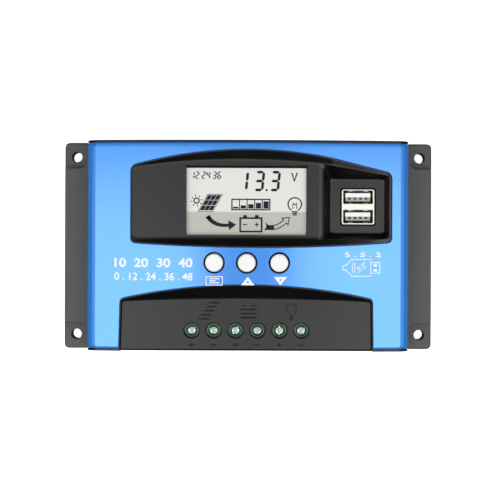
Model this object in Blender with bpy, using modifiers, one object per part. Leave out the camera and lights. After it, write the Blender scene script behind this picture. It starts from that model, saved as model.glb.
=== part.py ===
"""A solar charge controller lying on its back: +Z out of its face, +X to its right, +Y to its top.

Every size and place below is in millimetres. MM turns them into metres where an object is made.
"""

import math

import bmesh
import bpy
from mathutils import Matrix, Vector

MM = 0.001
GAP = 0.3  # clearance between pieces that touch on the real product

# Whole product
LENGTH = 166.0
WIDTH = 93.0
CROWN = 40.0  # outer face of the cover on its centre line
ARCH_RADIUS = 600.0
SHOULDER_RADIUS = 5.5
ARCH_STEPS = 10  # flat strips across the arch
SHOULDER_STEPS = 3  # and around each shoulder
BODY_HALF_X = 69.7  # outer face of the cover's sides
BODY_HALF_Y = 45.5
RIM = 0.7  # black edge of the housing beside the cover's ends
COVER_SHEET = 0.8
WALL = 2.0
BED = COVER_SHEET + GAP  # how far the housing lies under the cover's outer face

# Rear case
CASE_HALF_X = 73.0
CASE_HALF_Y = 46.0
CASE_TOP = 13.7
CASE_CORNER = 3.0
CAVITY_HALF_X = 66.6
CAVITY_HALF_Y = 43.5
EAR_ROOT = CASE_HALF_X - 2.0
EAR_CORNER = 2.5
PAD_TOP = 8.0
EAR_BAR = (82.2, 34.7)  # the raised part of each ear reaches this far in X and in Y
EAR_BAR_TOP = CASE_TOP - 0.1
EAR_FILLET = 2.5  # between the raised part and the case's wall
MOUNT_HOLE = (77.5, 40.0)
MOUNT_HOLE_RADIUS = 2.3
POST = (65.0, 39.8)
POST_RADIUS = 4.5
BOSS_RADIUS = 3.2
BOSS_TOP = 30.0
CASE_SCREW_HEAD = 2.8
CASE_SCREW_SHAFT = 1.35
CASE_SCREW_TIP = 25.0
PILLAR = (54.0, 38.0)
PILLAR_RADIUS = 2.5

# Heat sink under the power transistors
SINK_WINDOW = (44.0, 24.0)
SINK_FLANGE = (51.0, 28.0)
SINK_TOP = 3.8
GROOVE_PITCH = 7.0
GROOVE_WIDTH = 2.5
GROOVE_DEPTH = 1.0
SINK_SCREW_X = 47.5

# Boards
BOARD = 1.6
POWER_BOARD_Z = 11.0
POWER_BOARD_HALF = (60.0, 42.0)
BOARD_TOP = POWER_BOARD_Z + BOARD + GAP  # where parts stand on the power board
DISPLAY_BOARD_Z = 26.6
DISPLAY_BOARD_X = (-48.0, 36.0)
DISPLAY_BOARD_Y = (-13.0, 38.5)
DISPLAY_TOP = DISPLAY_BOARD_Z + BOARD + GAP  # where parts stand on the display board
DISPLAY_SCREWS = ((-44.0, 30.0), (33.0, -9.0))
USB_BOARD_Z = 17.0

# Display recess: a flat deck sunk under the arched cover
DECK = 37.1
DECK_UNDERSIDE = DECK - WALL
WINDOW_X = (-26.4, 25.5)
WINDOW_Y = (4.85, 34.6)
GLASS_MARGIN = 2.2

# Charging sockets in a well beside the display
SOCKET_CENTRE = (47.75, 17.1)
SOCKET_SIZE = (14.3, 15.4)
SOCKET_TOP = 32.8
PORT_SIZE = (12.7, 5.6)
PORT_Y = 4.2
TONGUE = (11.0, 1.9)
TONGUE_SHIFT = 0.9
TONGUE_DEPTH = 1.2
WELL_FLOOR = 32.0
WELL_X = (36.2, 59.7)
WELL_Y = (5.8, 29.3)

# The buttons and the terminals are set about this line
FACE_CENTRE_X = -0.5

# Push buttons
BUTTON_PITCH = 14.0
BUTTON_X = {
    "left": FACE_CENTRE_X - BUTTON_PITCH,
    "middle": FACE_CENTRE_X,
    "right": FACE_CENTRE_X + BUTTON_PITCH,
}
BUTTON_Y = -7.3
BUTTON_TOP = 40.5
BUTTON_RADIUS = 3.85
COVER_HOLE_RADIUS = 4.6
BUTTON_STEM_END = 33.3
SWITCH_TOP = 31.5

# Screw terminals along the lower edge
TERMINAL_PITCH = 9.5
TERMINAL_X = [FACE_CENTRE_X + TERMINAL_PITCH * (i - 2.5) for i in range(6)]
TERMINAL_Y = -36.7
SHELF = 34.9
SCREW_HOLE_RADIUS = 3.5
BLOCK_HALF_X = 29.0
BLOCK_Y = (-43.2, -29.2)
BLOCK_TOP = 32.5
CHAMBER_HALF_X = 3.7
CHAMBER_BACK = -30.7
CHAMBER_Z = (14.2, 28.6)
WELL_RADIUS = 2.9
HEAD_SEAT = 30.3
HEAD_RADIUS = 2.35
HEAD_TOP = 32.2
SHAFT_RADIUS = 1.8
SHAFT_END = 21.5
CLAMP_Z = (14.5, 23.6)
CLAMP_TUNNEL_Z = (15.4, 21.6)
CLAMP_HALF = (3.4, 3.75)
CLAMP_TUNNEL_HALF_X = 2.4
BAR_Z = (20.0, 21.2)
BAR_Y = (-42.2, -31.1)
PIN_DEPTH = 1.3
PORT_HALF_X = 3.5
PORT_Z = (14.9, 21.9)

# Outlines (x, y) of the openings: each side is its two ends, or its two ends about a middle point
COVER_WINDOW = [
    [(-50.3, 1.85), (6.3, -0.3), (62.9, 2.0)],
    [(62.9, 2.0), (62.9, 31.5)],
    [(62.9, 31.5), (35.0, 38.3)],
    [(35.0, 38.3), (-7.65, 41.6), (-50.3, 34.5)],
    [(-50.3, 34.5), (-50.3, 1.85)],
]
DECK_EDGE = [
    [(-49.6, 3.0), (6.1, 3.4), (61.9, 3.2)],
    [(61.9, 3.2), (61.9, 30.4)],
    [(61.9, 30.4), (34.0, 35.2)],
    [(34.0, 35.2), (-7.8, 37.2), (-49.6, 34.3)],
    [(-49.6, 34.3), (-49.6, 3.0)],
]
WELL_BRINK = [
    [(32.4, 3.4), (60.9, 3.4)],
    [(60.9, 3.4), (60.9, 30.2)],
    [(60.9, 30.2), (32.4, 35.0)],
    [(32.4, 35.0), (32.4, 3.4)],
]
TERMINAL_NOTCH = [
    [(-55.8, -49.0), (54.2, -49.0)],
    [(54.2, -49.0), (53.9, -22.9)],
    [(53.9, -22.9), (-0.5, -16.7), (-55.1, -22.9)],
    [(-55.1, -22.9), (-55.8, -49.0)],
]
SHELF_EDGE = [
    [(-55.1, -49.0), (53.5, -49.0)],
    [(53.5, -49.0), (53.2, -23.8)],
    [(53.2, -23.8), (-0.5, -22.8), (-54.4, -23.8)],
    [(-54.4, -23.8), (-55.1, -49.0)],
]


# Scene, collections and finishes


def clear_scene():
    for obj in list(bpy.data.objects):
        bpy.data.objects.remove(obj, do_unlink=True)


def new_collection(name):
    made = bpy.data.collections.new(name)
    bpy.context.scene.collection.children.link(made)
    return made


def finish(name, colour, roughness, metallic=0.0):
    made = bpy.data.materials.new(name)
    made.use_nodes = True
    shader = made.node_tree.nodes["Principled BSDF"]
    shader.inputs["Base Color"].default_value = (*colour, 1.0)
    shader.inputs["Roughness"].default_value = roughness
    shader.inputs["Metallic"].default_value = metallic
    return made


clear_scene()
PARTS = new_collection("charge_controller")
TOOLS = new_collection("cutters")
BLACK_PLASTIC = finish("black_plastic", (0.022, 0.022, 0.022), 0.42)
BLUE_METAL = finish("blue_metal", (0.10, 0.34, 0.80), 0.32, 0.7)
WHITE_PLASTIC = finish("white_plastic", (0.86, 0.86, 0.85), 0.35)
GREEN_PLASTIC = finish("green_plastic", (0.10, 0.38, 0.16), 0.5)
DARK_PLASTIC = finish("dark_plastic", (0.03, 0.03, 0.035), 0.55)
GLASS = finish("display_glass", (0.70, 0.72, 0.68), 0.12)
LIGHT_GUIDE = finish("light_guide", (0.85, 0.86, 0.84), 0.5)
CIRCUIT_BOARD = finish("circuit_board", (0.02, 0.16, 0.07), 0.45)
STEEL = finish("steel", (0.62, 0.62, 0.60), 0.28, 1.0)
BRASS = finish("brass", (0.72, 0.56, 0.27), 0.3, 1.0)
ALUMINIUM = finish("aluminium", (0.66, 0.67, 0.68), 0.4, 1.0)
COPPER = finish("copper", (0.70, 0.31, 0.15), 0.35, 1.0)
SILICONE = finish("silicone", (0.55, 0.55, 0.57), 0.8)


# Meshes, in millimetres


def box(low, high):
    made = bmesh.new()
    bmesh.ops.create_cube(made, size=1.0)
    bmesh.ops.scale(made, verts=made.verts, vec=Vector(high) - Vector(low))
    bmesh.ops.translate(made, verts=made.verts, vec=(Vector(high) + Vector(low)) / 2)
    return made


def cylinder(radius, low, high, at=(0.0, 0.0), sides=16, top_radius=None):
    made = bmesh.new()
    bmesh.ops.create_cone(
        made,
        cap_ends=True,
        segments=sides,
        radius1=radius,
        radius2=radius if top_radius is None else top_radius,
        depth=high - low,
    )
    bmesh.ops.translate(made, verts=made.verts, vec=(*at, (low + high) / 2))
    return made


def evaluated_mesh(obj):
    """A mesh of the object with its modifiers applied."""
    bpy.context.view_layer.update()
    graph = bpy.context.evaluated_depsgraph_get()
    return bpy.data.meshes.new_from_object(obj.evaluated_get(graph))


def taken_mesh(data, modify=None):
    """A welded mesh of a curve or mesh datablock, which is then removed."""
    helper = bpy.data.objects.new("helper", data)
    bpy.context.scene.collection.objects.link(helper)
    if modify:
        modify(helper)
    mesh = evaluated_mesh(helper)
    made = bmesh.new()
    made.from_mesh(mesh)
    bmesh.ops.remove_doubles(made, verts=made.verts, dist=1e-5)
    bmesh.ops.recalc_face_normals(made, faces=made.faces)
    bpy.data.objects.remove(helper, do_unlink=True)
    bpy.data.meshes.remove(mesh)
    return made


def extruded(outlines, low, high):
    """A flat outline from low to high along Z. Any further outlines are holes in it."""
    curve = bpy.data.curves.new("outline", "CURVE")
    curve.dimensions = "2D"
    curve.fill_mode = "BOTH"
    curve.extrude = (high - low) / 2
    for points in outlines:
        spline = curve.splines.new("POLY")
        spline.points.add(len(points) - 1)
        spline.use_cyclic_u = True
        for point, place in zip(spline.points, points):
            point.co = (place[0], place[1], 0.0, 1.0)
    made = taken_mesh(curve)
    bmesh.ops.translate(made, verts=made.verts, vec=(0.0, 0.0, (low + high) / 2))
    return made


def extruded_along_y(section, low, high):
    """A section given as (x, z) points, from low to high along Y."""
    made = extruded([section], -high, -low)
    turn = Matrix.Rotation(math.pi / 2, 3, "X")
    bmesh.ops.rotate(made, verts=made.verts, cent=(0.0, 0.0, 0.0), matrix=turn)
    return made


def turned(profile, steps=16):
    """A solid of revolution about Z, from (radius, height) points down its outer side."""
    line = bmesh.new()
    points = [line.verts.new((radius, 0.0, height)) for radius, height in profile]
    for pair in zip(points, points[1:]):
        line.edges.new(pair)
    mesh = bpy.data.meshes.new("profile")
    line.to_mesh(mesh)
    line.free()

    def spin(helper):
        screw = helper.modifiers.new("turn", "SCREW")
        screw.steps = steps
        screw.render_steps = steps
        screw.use_merge_vertices = True
        screw.merge_threshold = 0.0001

    return taken_mesh(mesh, spin)


def lofted(rings):
    """A closed solid through rings of equally many points."""
    made = bmesh.new()
    loops = [[made.verts.new(point) for point in ring] for ring in rings]
    for lower, upper in zip(loops, loops[1:]):
        for i in range(len(lower)):
            made.faces.new((lower[i - 1], lower[i], upper[i], upper[i - 1]))
    made.faces.new(loops[0])
    made.faces.new(loops[-1])
    bmesh.ops.recalc_face_normals(made, faces=made.faces)
    bmesh.ops.triangulate(made, faces=made.faces)
    return made


def together(shapes):
    """One mesh that holds several shapes."""
    whole = bmesh.new()
    for shape in shapes:
        mesh = bpy.data.meshes.new("shape")
        shape.to_mesh(mesh)
        shape.free()
        whole.from_mesh(mesh)
        bpy.data.meshes.remove(mesh)
    return whole


# Objects


def new_object(name, shape, place, group):
    bmesh.ops.scale(shape, verts=shape.verts, vec=(MM, MM, MM))
    mesh = bpy.data.meshes.new(name)
    shape.to_mesh(mesh)
    shape.free()
    obj = bpy.data.objects.new(name, mesh)
    obj.location = Vector(place) * MM
    group.objects.link(obj)
    return obj


def part(name, shape, material, place=(0.0, 0.0, 0.0)):
    """A visible piece, its mesh given about its place."""
    obj = new_object(name, shape, place, PARTS)
    obj.data.materials.append(material)
    obj.data.shade_smooth()
    obj.data.set_sharp_from_angle(angle=math.radians(30))
    return obj


def tool(name, shape, place=(0.0, 0.0, 0.0)):
    """A helper that cuts or extends a piece and isn't seen."""
    obj = new_object(name, shape, place, TOOLS)
    obj.hide_render = True
    obj.display_type = "WIRE"
    return obj


def combine(obj, helper, operation):
    boolean = obj.modifiers.new(helper.name, "BOOLEAN")
    boolean.operation = operation
    boolean.object = helper
    boolean.solver = "EXACT"


def cut(obj, name, shape):
    combine(obj, tool(name, shape), "DIFFERENCE")


def extend(obj, name, shape):
    combine(obj, tool(name, shape), "UNION")


def settle(obj):
    """Applies the object's modifiers, so that copies can share its mesh."""
    mesh = evaluated_mesh(obj)
    obj.modifiers.clear()
    obj.data = mesh
    mesh.name = obj.name


def copies(obj, names, places):
    """Gives a settled piece its first name and place, and makes the rest from its mesh."""
    for name, place in zip(names, places):
        twin = bpy.data.objects.new(name, obj.data)
        twin.location = Vector(place) * MM
        PARTS.objects.link(twin)
    bpy.data.objects.remove(obj, do_unlink=True)


# Outlines


def curve_point(side, t):
    """The point at t, from 0 to 1, on a side's straight or shallow curved line."""
    if len(side) == 2:
        return Vector(side[0]).lerp(Vector(side[1]), t)
    start, middle, end = (Vector(point) for point in side)
    return start * ((1 - t) * (1 - 2 * t)) + middle * (4 * t * (1 - t)) + end * (t * (2 * t - 1))


def outline(sides, radius, steps=8, corner_steps=2):
    """A closed outline of sides that run head to tail, with its corners rounded."""
    points = []
    for side, following in zip(sides, sides[1:] + sides[:1]):
        count = steps if len(side) == 3 else 1
        trim = radius / math.dist(side[0], side[-1])
        next_trim = radius / math.dist(following[0], following[-1])
        points += [curve_point(side, trim + (1 - 2 * trim) * i / count) for i in range(count + 1)]
        before, corner, after = points[-1], Vector(side[-1]), curve_point(following, next_trim)
        for i in range(1, corner_steps):
            t = i / corner_steps
            points.append(before.lerp(corner, t).lerp(corner.lerp(after, t), t))
    return points


def rectangle(low, high):
    """The four sides of a rectangle, for outline."""
    corners = [(low[0], low[1]), (high[0], low[1]), (high[0], high[1]), (low[0], high[1])]
    return [[start, end] for start, end in zip(corners, corners[1:] + corners[:1])]


def grown(sides, margin):
    """The sides with every point moved out from the middle of their box, or in where margin is negative."""
    across = [point[0] for side in sides for point in side]
    along = [point[1] for side in sides for point in side]
    middle = ((min(across) + max(across)) / 2, (min(along) + max(along)) / 2)

    def moved(point):
        return tuple(c + margin * math.copysign(1.0, c - m) for c, m in zip(point, middle))

    return [[moved(point) for point in side] for side in sides]


def arch_height(x, drop=0.0):
    """Height over x of the surface that lies drop under the cover's outer face."""
    return CROWN - ARCH_RADIUS + math.sqrt((ARCH_RADIUS - drop) ** 2 - x**2)


def face_section(drop, foot):
    """Section (x, z) from the right foot over the arch to the left foot, drop under the cover's face."""
    hub = CROWN - ARCH_RADIUS
    shoulder_x = BODY_HALF_X - SHOULDER_RADIUS
    shoulder_z = hub + math.sqrt((ARCH_RADIUS - SHOULDER_RADIUS) ** 2 - shoulder_x**2)
    turn = math.atan2(shoulder_z - hub, shoulder_x)
    bend = SHOULDER_RADIUS - drop
    right = [(BODY_HALF_X - drop, foot)]
    for i in range(SHOULDER_STEPS + 1):
        angle = turn * i / SHOULDER_STEPS
        right.append((shoulder_x + bend * math.cos(angle), shoulder_z + bend * math.sin(angle)))
    left = [(-x, z) for x, z in reversed(right)]
    crown = []
    for i in range(1, ARCH_STEPS):
        angle = turn + (math.pi - 2 * turn) * i / ARCH_STEPS
        reach = ARCH_RADIUS - drop
        crown.append((reach * math.cos(angle), hub + reach * math.sin(angle)))
    return right + crown + left


def recess(floor_sides, floor, brink_sides, brink, radius):
    """A cutter whose walls slope from a flat floor up to a brink, whose height is a function of x."""
    lower = outline(floor_sides, radius)
    upper = outline(brink_sides, radius)
    return lofted(
        [
            [(x, y, floor) for x, y in lower],
            [(x, y, brink(x)) for x, y in upper],
            [(x, y, CROWN + 5.0) for x, y in upper],
        ]
    )


def corners_of(place):
    """The four mirrored places of one in the first quarter."""
    x, y = place
    return [(x, y), (-x, y), (-x, -y), (x, -y)]


# Rear case and heat sink


def ear_bar_outline(side):
    """The raised part between an ear's two pads, with a fillet where it meets the case's wall."""
    hub = (CASE_HALF_X + EAR_FILLET, EAR_BAR[1] + EAR_FILLET)
    fillet = []
    for angle in (math.pi / 2, math.pi / 3, math.pi / 6, 0.0):
        fillet.append((hub[0] - EAR_FILLET * math.cos(angle), hub[1] - EAR_FILLET * math.sin(angle)))
    half = [EAR_BAR, *fillet, (EAR_ROOT, hub[1])]
    return [(side * x, -y) for x, y in half[::-1]] + [(side * x, y) for x, y in half]


def make_rear_case():
    base = outline(rectangle((-CASE_HALF_X, -CASE_HALF_Y), (CASE_HALF_X, CASE_HALF_Y)), CASE_CORNER)
    case = part("rear_case", extruded([base], 0.0, CASE_TOP), BLACK_PLASTIC)
    half_x, half_y = LENGTH / 2, WIDTH / 2
    for name, side in (("right", 1), ("left", -1)):
        ends = sorted((side * EAR_ROOT, side * half_x))
        pad = outline(rectangle((ends[0], -half_y), (ends[1], half_y)), EAR_CORNER)
        extend(case, f"ear_plate_{name}", extruded([pad], 0.0, PAD_TOP))
        extend(case, f"ear_bar_{name}", extruded([ear_bar_outline(side)], 0.5, EAR_BAR_TOP))
    hollow = box((-CAVITY_HALF_X, -CAVITY_HALF_Y, WALL), (CAVITY_HALF_X, CAVITY_HALF_Y, CASE_TOP + 1.0))
    cut(case, "case_hollow", hollow)
    posts = [cylinder(POST_RADIUS, 1.0, CASE_TOP, at) for at in corners_of(POST)]
    extend(case, "case_posts", together(posts))
    pillar_top = POWER_BOARD_Z - GAP
    pillars = [cylinder(PILLAR_RADIUS, 1.0, pillar_top, at, 10) for at in corners_of(PILLAR)]
    extend(case, "board_pillars", together(pillars))
    window = box((-SINK_WINDOW[0], -SINK_WINDOW[1], -1.0), (*SINK_WINDOW, WALL + 1.0))
    cut(case, "heat_sink_window", window)
    holes = [cylinder(MOUNT_HOLE_RADIUS, -1.0, PAD_TOP + 1.0, at) for at in corners_of(MOUNT_HOLE)]
    cut(case, "mounting_holes", together(holes))
    bores = [cylinder(CASE_SCREW_SHAFT + GAP, -1.0, CASE_TOP + 1.0, at, 12) for at in corners_of(POST)]
    cut(case, "case_screw_bores", together(bores))
    seats = [cylinder(CASE_SCREW_HEAD + GAP, -1.0, 2.8, at) for at in corners_of(POST)]
    cut(case, "case_screw_seats", together(seats))
    sinks = [cylinder(3.6, -0.5, WALL + 0.5, (x, 0.0), 16, 1.4) for x in (-SINK_SCREW_X, SINK_SCREW_X)]
    cut(case, "sink_screw_seats", together(sinks))


def make_heat_sink():
    plug_x, plug_y = (half - GAP for half in SINK_WINDOW)
    sink = part("heat_sink", box((-plug_x, -plug_y, GAP), (plug_x, plug_y, SINK_TOP - 0.5)), ALUMINIUM)
    flange = box((-SINK_FLANGE[0], -SINK_FLANGE[1], WALL + GAP), (*SINK_FLANGE, SINK_TOP))
    extend(sink, "heat_sink_flange", flange)
    grooves = []
    for i in range(-5, 6):
        x = i * GROOVE_PITCH
        low = (x - GROOVE_WIDTH / 2, -SINK_WINDOW[1], -1.0)
        grooves.append(box(low, (x + GROOVE_WIDTH / 2, SINK_WINDOW[1], GAP + GROOVE_DEPTH)))
    cut(sink, "heat_sink_grooves", together(grooves))
    holes = [cylinder(1.6, 0.0, SINK_TOP + 1.0, (x, 0.0), 12) for x in (-SINK_SCREW_X, SINK_SCREW_X)]
    cut(sink, "heat_sink_holes", together(holes))
    profile = [(0.0, 3.6), (1.25, 3.6), (1.25, 1.8), (2.6, 0.6), (2.6, 0.3), (0.0, 0.3)]
    screw = part("heat_sink_screw", turned(profile, 12), STEEL)
    names = ["heat_sink_screw_1", "heat_sink_screw_2"]
    copies(screw, names, [(-SINK_SCREW_X, 0.0, 0.0), (SINK_SCREW_X, 0.0, 0.0)])
    part("thermal_pad", box((-37.0, -9.3, 4.1), (37.0, 9.3, 4.6)), SILICONE)


def make_case_screws():
    tip = CASE_SCREW_TIP
    profile = [
        (0.0, tip),
        (0.7, tip - 0.2),
        (CASE_SCREW_SHAFT, tip - 1.5),
        (CASE_SCREW_SHAFT, 2.5),
        (CASE_SCREW_HEAD, 2.5),
        (CASE_SCREW_HEAD, 0.9),
        (CASE_SCREW_HEAD - 0.4, 0.5),
        (0.0, 0.5),
    ]
    screw = part("case_screw", turned(profile, 12), STEEL)
    cross = [box((-1.6, -0.4, 0.0), (1.6, 0.4, 1.4)), box((-0.4, -1.6, 0.0), (0.4, 1.6, 1.4))]
    for i, arm in enumerate(cross):
        cut(screw, f"case_screw_recess_{i}", arm)
    settle(screw)
    names = [f"case_screw_{i}" for i in range(1, 5)]
    copies(screw, names, [(*at, 0.0) for at in corners_of(POST)])


# Front housing and cover


def keep_walls(hollow):
    """Leaves the deck, the socket well and the terminal shelf out of the housing's hollow."""
    deck = extruded([outline(grown(COVER_WINDOW, 1.6), 2.5)], DECK_UNDERSIDE, CROWN)
    cut(hollow, "deck_wall", deck)
    low = (WELL_X[0] - 4.2, WELL_Y[0] - 5.0, WELL_FLOOR - WALL)
    cut(hollow, "well_wall", box(low, (WELL_X[1] + 5.0, WELL_Y[1] + 4.0, CROWN)))
    shelf = extruded([outline(grown(TERMINAL_NOTCH, 1.6), 2.0)], SHELF - WALL, CROWN)
    cut(hollow, "shelf_wall", shelf)


def make_front_housing():
    foot = CASE_TOP + GAP
    body = extruded_along_y(face_section(BED, foot - 3.0), -BODY_HALF_Y + 0.2, BODY_HALF_Y - 0.2)
    housing = part("front_housing", body, BLACK_PLASTIC)
    for name, side in (("top", 1), ("bottom", -1)):
        ends = sorted((side * BODY_HALF_Y, side * (BODY_HALF_Y - RIM)))
        extend(housing, f"rim_{name}", extruded_along_y(face_section(0.0, foot - 2.5), *ends))
    for name, sides in (("display_bezel", COVER_WINDOW), ("terminal_bezel", TERMINAL_NOTCH)):
        bezel = tool(name, extruded([outline(grown(sides, -GAP), 2.2)], 30.0, CROWN + 2.0))
        arch = extruded_along_y(face_section(0.15, foot), -BODY_HALF_Y + 0.1, BODY_HALF_Y - 0.1)
        combine(bezel, tool(f"{name}_arch", arch), "INTERSECT")
        combine(housing, bezel, "UNION")
    section = face_section(BED + WALL, foot - 5.0)
    hollow = tool("housing_hollow", extruded_along_y(section, -CAVITY_HALF_Y, CAVITY_HALF_Y))
    keep_walls(hollow)
    combine(housing, hollow, "DIFFERENCE")
    bosses = [cylinder(BOSS_RADIUS, foot - 2.0, BOSS_TOP, at) for at in corners_of(POST)]
    bosses += [cylinder(2.5, DISPLAY_TOP, 36.6, at, 12) for at in DISPLAY_SCREWS]
    extend(housing, "screw_bosses", together(bosses))
    parting = box((-LENGTH, -WIDTH, 0.0), (LENGTH, WIDTH, foot))
    cut(housing, "parting_plane", parting)
    bores = [cylinder(CASE_SCREW_SHAFT + GAP, foot - 1.0, BOSS_TOP - 2.0, at, 12) for at in corners_of(POST)]
    bores += [cylinder(1.3, DISPLAY_TOP - 1.0, 33.4, at, 10) for at in DISPLAY_SCREWS]
    cut(housing, "boss_bores", together(bores))
    cut_recesses(housing)
    cut_small_holes(housing)


def cut_recesses(housing):
    """Sinks the display deck, the socket well and the terminal shelf into the arched face."""
    brink = grown(COVER_WINDOW, -0.8)
    cut(housing, "display_recess", recess(DECK_EDGE, DECK, brink, lambda x: arch_height(x) - 0.1, 2.0))
    well_floor = rectangle((WELL_X[0], WELL_Y[0]), (WELL_X[1], WELL_Y[1]))
    cut(housing, "socket_well", recess(well_floor, WELL_FLOOR, WELL_BRINK, lambda x: DECK + 0.2, 1.5))
    brink = grown(TERMINAL_NOTCH, -0.8)
    cut(housing, "terminal_recess", recess(SHELF_EDGE, SHELF, brink, lambda x: arch_height(x) - 0.1, 1.5))


def cut_small_holes(housing):
    window = box((WINDOW_X[0], WINDOW_Y[0], DECK_UNDERSIDE - 1.0), (WINDOW_X[1], WINDOW_Y[1], DECK + 1.0))
    cut(housing, "display_window", window)
    x, y = SOCKET_CENTRE
    half_x, half_y = (size / 2 + 0.5 for size in SOCKET_SIZE)
    slot = box((x - half_x, y - half_y, WELL_FLOOR - 4.0), (x + half_x, y + half_y, WELL_FLOOR + 1.0))
    cut(housing, "socket_hole", slot)
    button_holes = [cylinder(BUTTON_RADIUS + GAP, 33.0, CROWN, (x, BUTTON_Y)) for x in BUTTON_X.values()]
    screw_holes = [cylinder(SCREW_HOLE_RADIUS, 32.0, SHELF + 1.0, (x, TERMINAL_Y)) for x in TERMINAL_X]
    cut(housing, "round_holes", together(button_holes + screw_holes))
    ports = []
    for x in TERMINAL_X:
        low = (x - PORT_HALF_X, -BODY_HALF_Y - 1.0, PORT_Z[0])
        ports.append(box(low, (x + PORT_HALF_X, -CAVITY_HALF_Y + 0.5, PORT_Z[1])))
    cut(housing, "wire_ports", together(ports))


def make_face_cover():
    """A bent sheet: the arched face with both sides folded down."""
    foot = CASE_TOP + 2 * GAP
    section = face_section(0.0, foot) + face_section(COVER_SHEET, foot)[::-1]
    half_y = BODY_HALF_Y - RIM - GAP
    cover = part("face_cover", extruded_along_y(section, -half_y, half_y), BLUE_METAL)
    cut(cover, "cover_window", extruded([outline(COVER_WINDOW, 2.5)], 20.0, CROWN + 5.0))
    cut(cover, "cover_notch", extruded([outline(TERMINAL_NOTCH, 1.8)], 20.0, CROWN + 5.0))
    holes = [cylinder(COVER_HOLE_RADIUS, 30.0, CROWN + 5.0, (x, BUTTON_Y), 24) for x in BUTTON_X.values()]
    cut(cover, "button_holes", together(holes))


# Display, buttons and sockets


def make_display():
    low_x, high_x = WINDOW_X[0] - GLASS_MARGIN, WINDOW_X[1] + GLASS_MARGIN
    low_y, high_y = WINDOW_Y[0] - GLASS_MARGIN, WINDOW_Y[1] + GLASS_MARGIN

    def layer(name, low, high, material):
        part(name, box((low_x, low_y, low), (high_x, high_y, high)), material)

    layer("lcd_window", 34.0, DECK_UNDERSIDE - GAP, GLASS)
    layer("lcd_glass", 31.0, 33.7, GLASS)
    layer("lcd_backlight", DISPLAY_TOP, 30.7, LIGHT_GUIDE)
    low = (DISPLAY_BOARD_X[0], DISPLAY_BOARD_Y[0], DISPLAY_BOARD_Z)
    high = (DISPLAY_BOARD_X[1], DISPLAY_BOARD_Y[1], DISPLAY_BOARD_Z + BOARD)
    board = part("display_board", box(low, high), CIRCUIT_BOARD)
    holes = [cylinder(1.3, low[2] - 1.0, high[2] + 1.0, at, 10) for at in DISPLAY_SCREWS]
    cut(board, "display_board_holes", together(holes))
    head = DISPLAY_BOARD_Z - GAP
    profile = [(0.0, 33.0), (1.0, 32.5), (1.0, head), (2.0, head), (2.0, head - 1.4), (0.0, head - 1.4)]
    screw = part("display_screw", turned(profile, 10), STEEL)
    copies(screw, ["display_screw_1", "display_screw_2"], [(*at, 0.0) for at in DISPLAY_SCREWS])


def make_buttons():
    """Each button pushes a plunger into a tactile switch on the display board."""
    radius = BUTTON_RADIUS
    end = BUTTON_STEM_END - BUTTON_TOP
    profile = [
        (0.0, 0.0),
        (radius - 0.5, 0.0),
        (radius - 0.15, -0.15),
        (radius, -0.5),
        (radius, 36.2 - BUTTON_TOP),
        (5.2, 36.2 - BUTTON_TOP),
        (5.2, 35.1 - BUTTON_TOP),
        (1.5, 35.1 - BUTTON_TOP),
        (1.5, end),
        (0.0, end),
    ]
    button = part("button", turned(profile, 20), WHITE_PLASTIC)
    switch = part("switch", box((-3.0, -3.0, DISPLAY_TOP), (3.0, 3.0, SWITCH_TOP)), DARK_PLASTIC)
    cut(switch, "plunger_bore", cylinder(2.0, SWITCH_TOP - 1.6, SWITCH_TOP + 1.0, sides=10))
    settle(switch)
    plunger_top = BUTTON_STEM_END - GAP
    low = SWITCH_TOP - 0.6 - plunger_top
    plunger = part("plunger", cylinder(1.7, low, 0.0, sides=12), WHITE_PLASTIC)
    centres = list(BUTTON_X.values())
    copies(button, [f"button_{n}" for n in BUTTON_X], [(x, BUTTON_Y, BUTTON_TOP) for x in centres])
    copies(switch, [f"tact_switch_{n}" for n in BUTTON_X], [(x, BUTTON_Y, 0.0) for x in centres])
    copies(plunger, [f"tact_plunger_{n}" for n in BUTTON_X], [(x, BUTTON_Y, plunger_top) for x in centres])


def make_sockets():
    x, y = SOCKET_CENTRE
    half_x, half_y = (size / 2 for size in SOCKET_SIZE)
    foot = USB_BOARD_Z + BOARD + GAP
    floor = foot + 1.5
    shell = part("usb_shell", box((-half_x, -half_y, foot), (half_x, half_y, SOCKET_TOP)), STEEL, (x, y, 0.0))
    holes = []
    for side in (-1, 1):
        low = (x - PORT_SIZE[0] / 2, y + side * PORT_Y - PORT_SIZE[1] / 2, floor)
        high = (x + PORT_SIZE[0] / 2, y + side * PORT_Y + PORT_SIZE[1] / 2, SOCKET_TOP + 1.0)
        holes.append(box(low, high))
    cut(shell, "socket_ports", together(holes))
    half = (TONGUE[0] / 2, TONGUE[1] / 2)
    for name, side in (("upper", 1), ("lower", -1)):
        centre = (x, y + side * PORT_Y + TONGUE_SHIFT, 0.0)
        tongue = box((-half[0], -half[1], floor + GAP), (*half, SOCKET_TOP - TONGUE_DEPTH))
        part(f"usb_tongue_{name}", tongue, WHITE_PLASTIC, centre)
    board = box((37.0, 6.0, USB_BOARD_Z), (59.0, 29.0, USB_BOARD_Z + BOARD))
    part("usb_board", board, CIRCUIT_BOARD)
    part("usb_header", box((39.0, 26.0, BOARD_TOP), (57.0, 28.5, USB_BOARD_Z - GAP)), DARK_PLASTIC)


# Terminals


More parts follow.
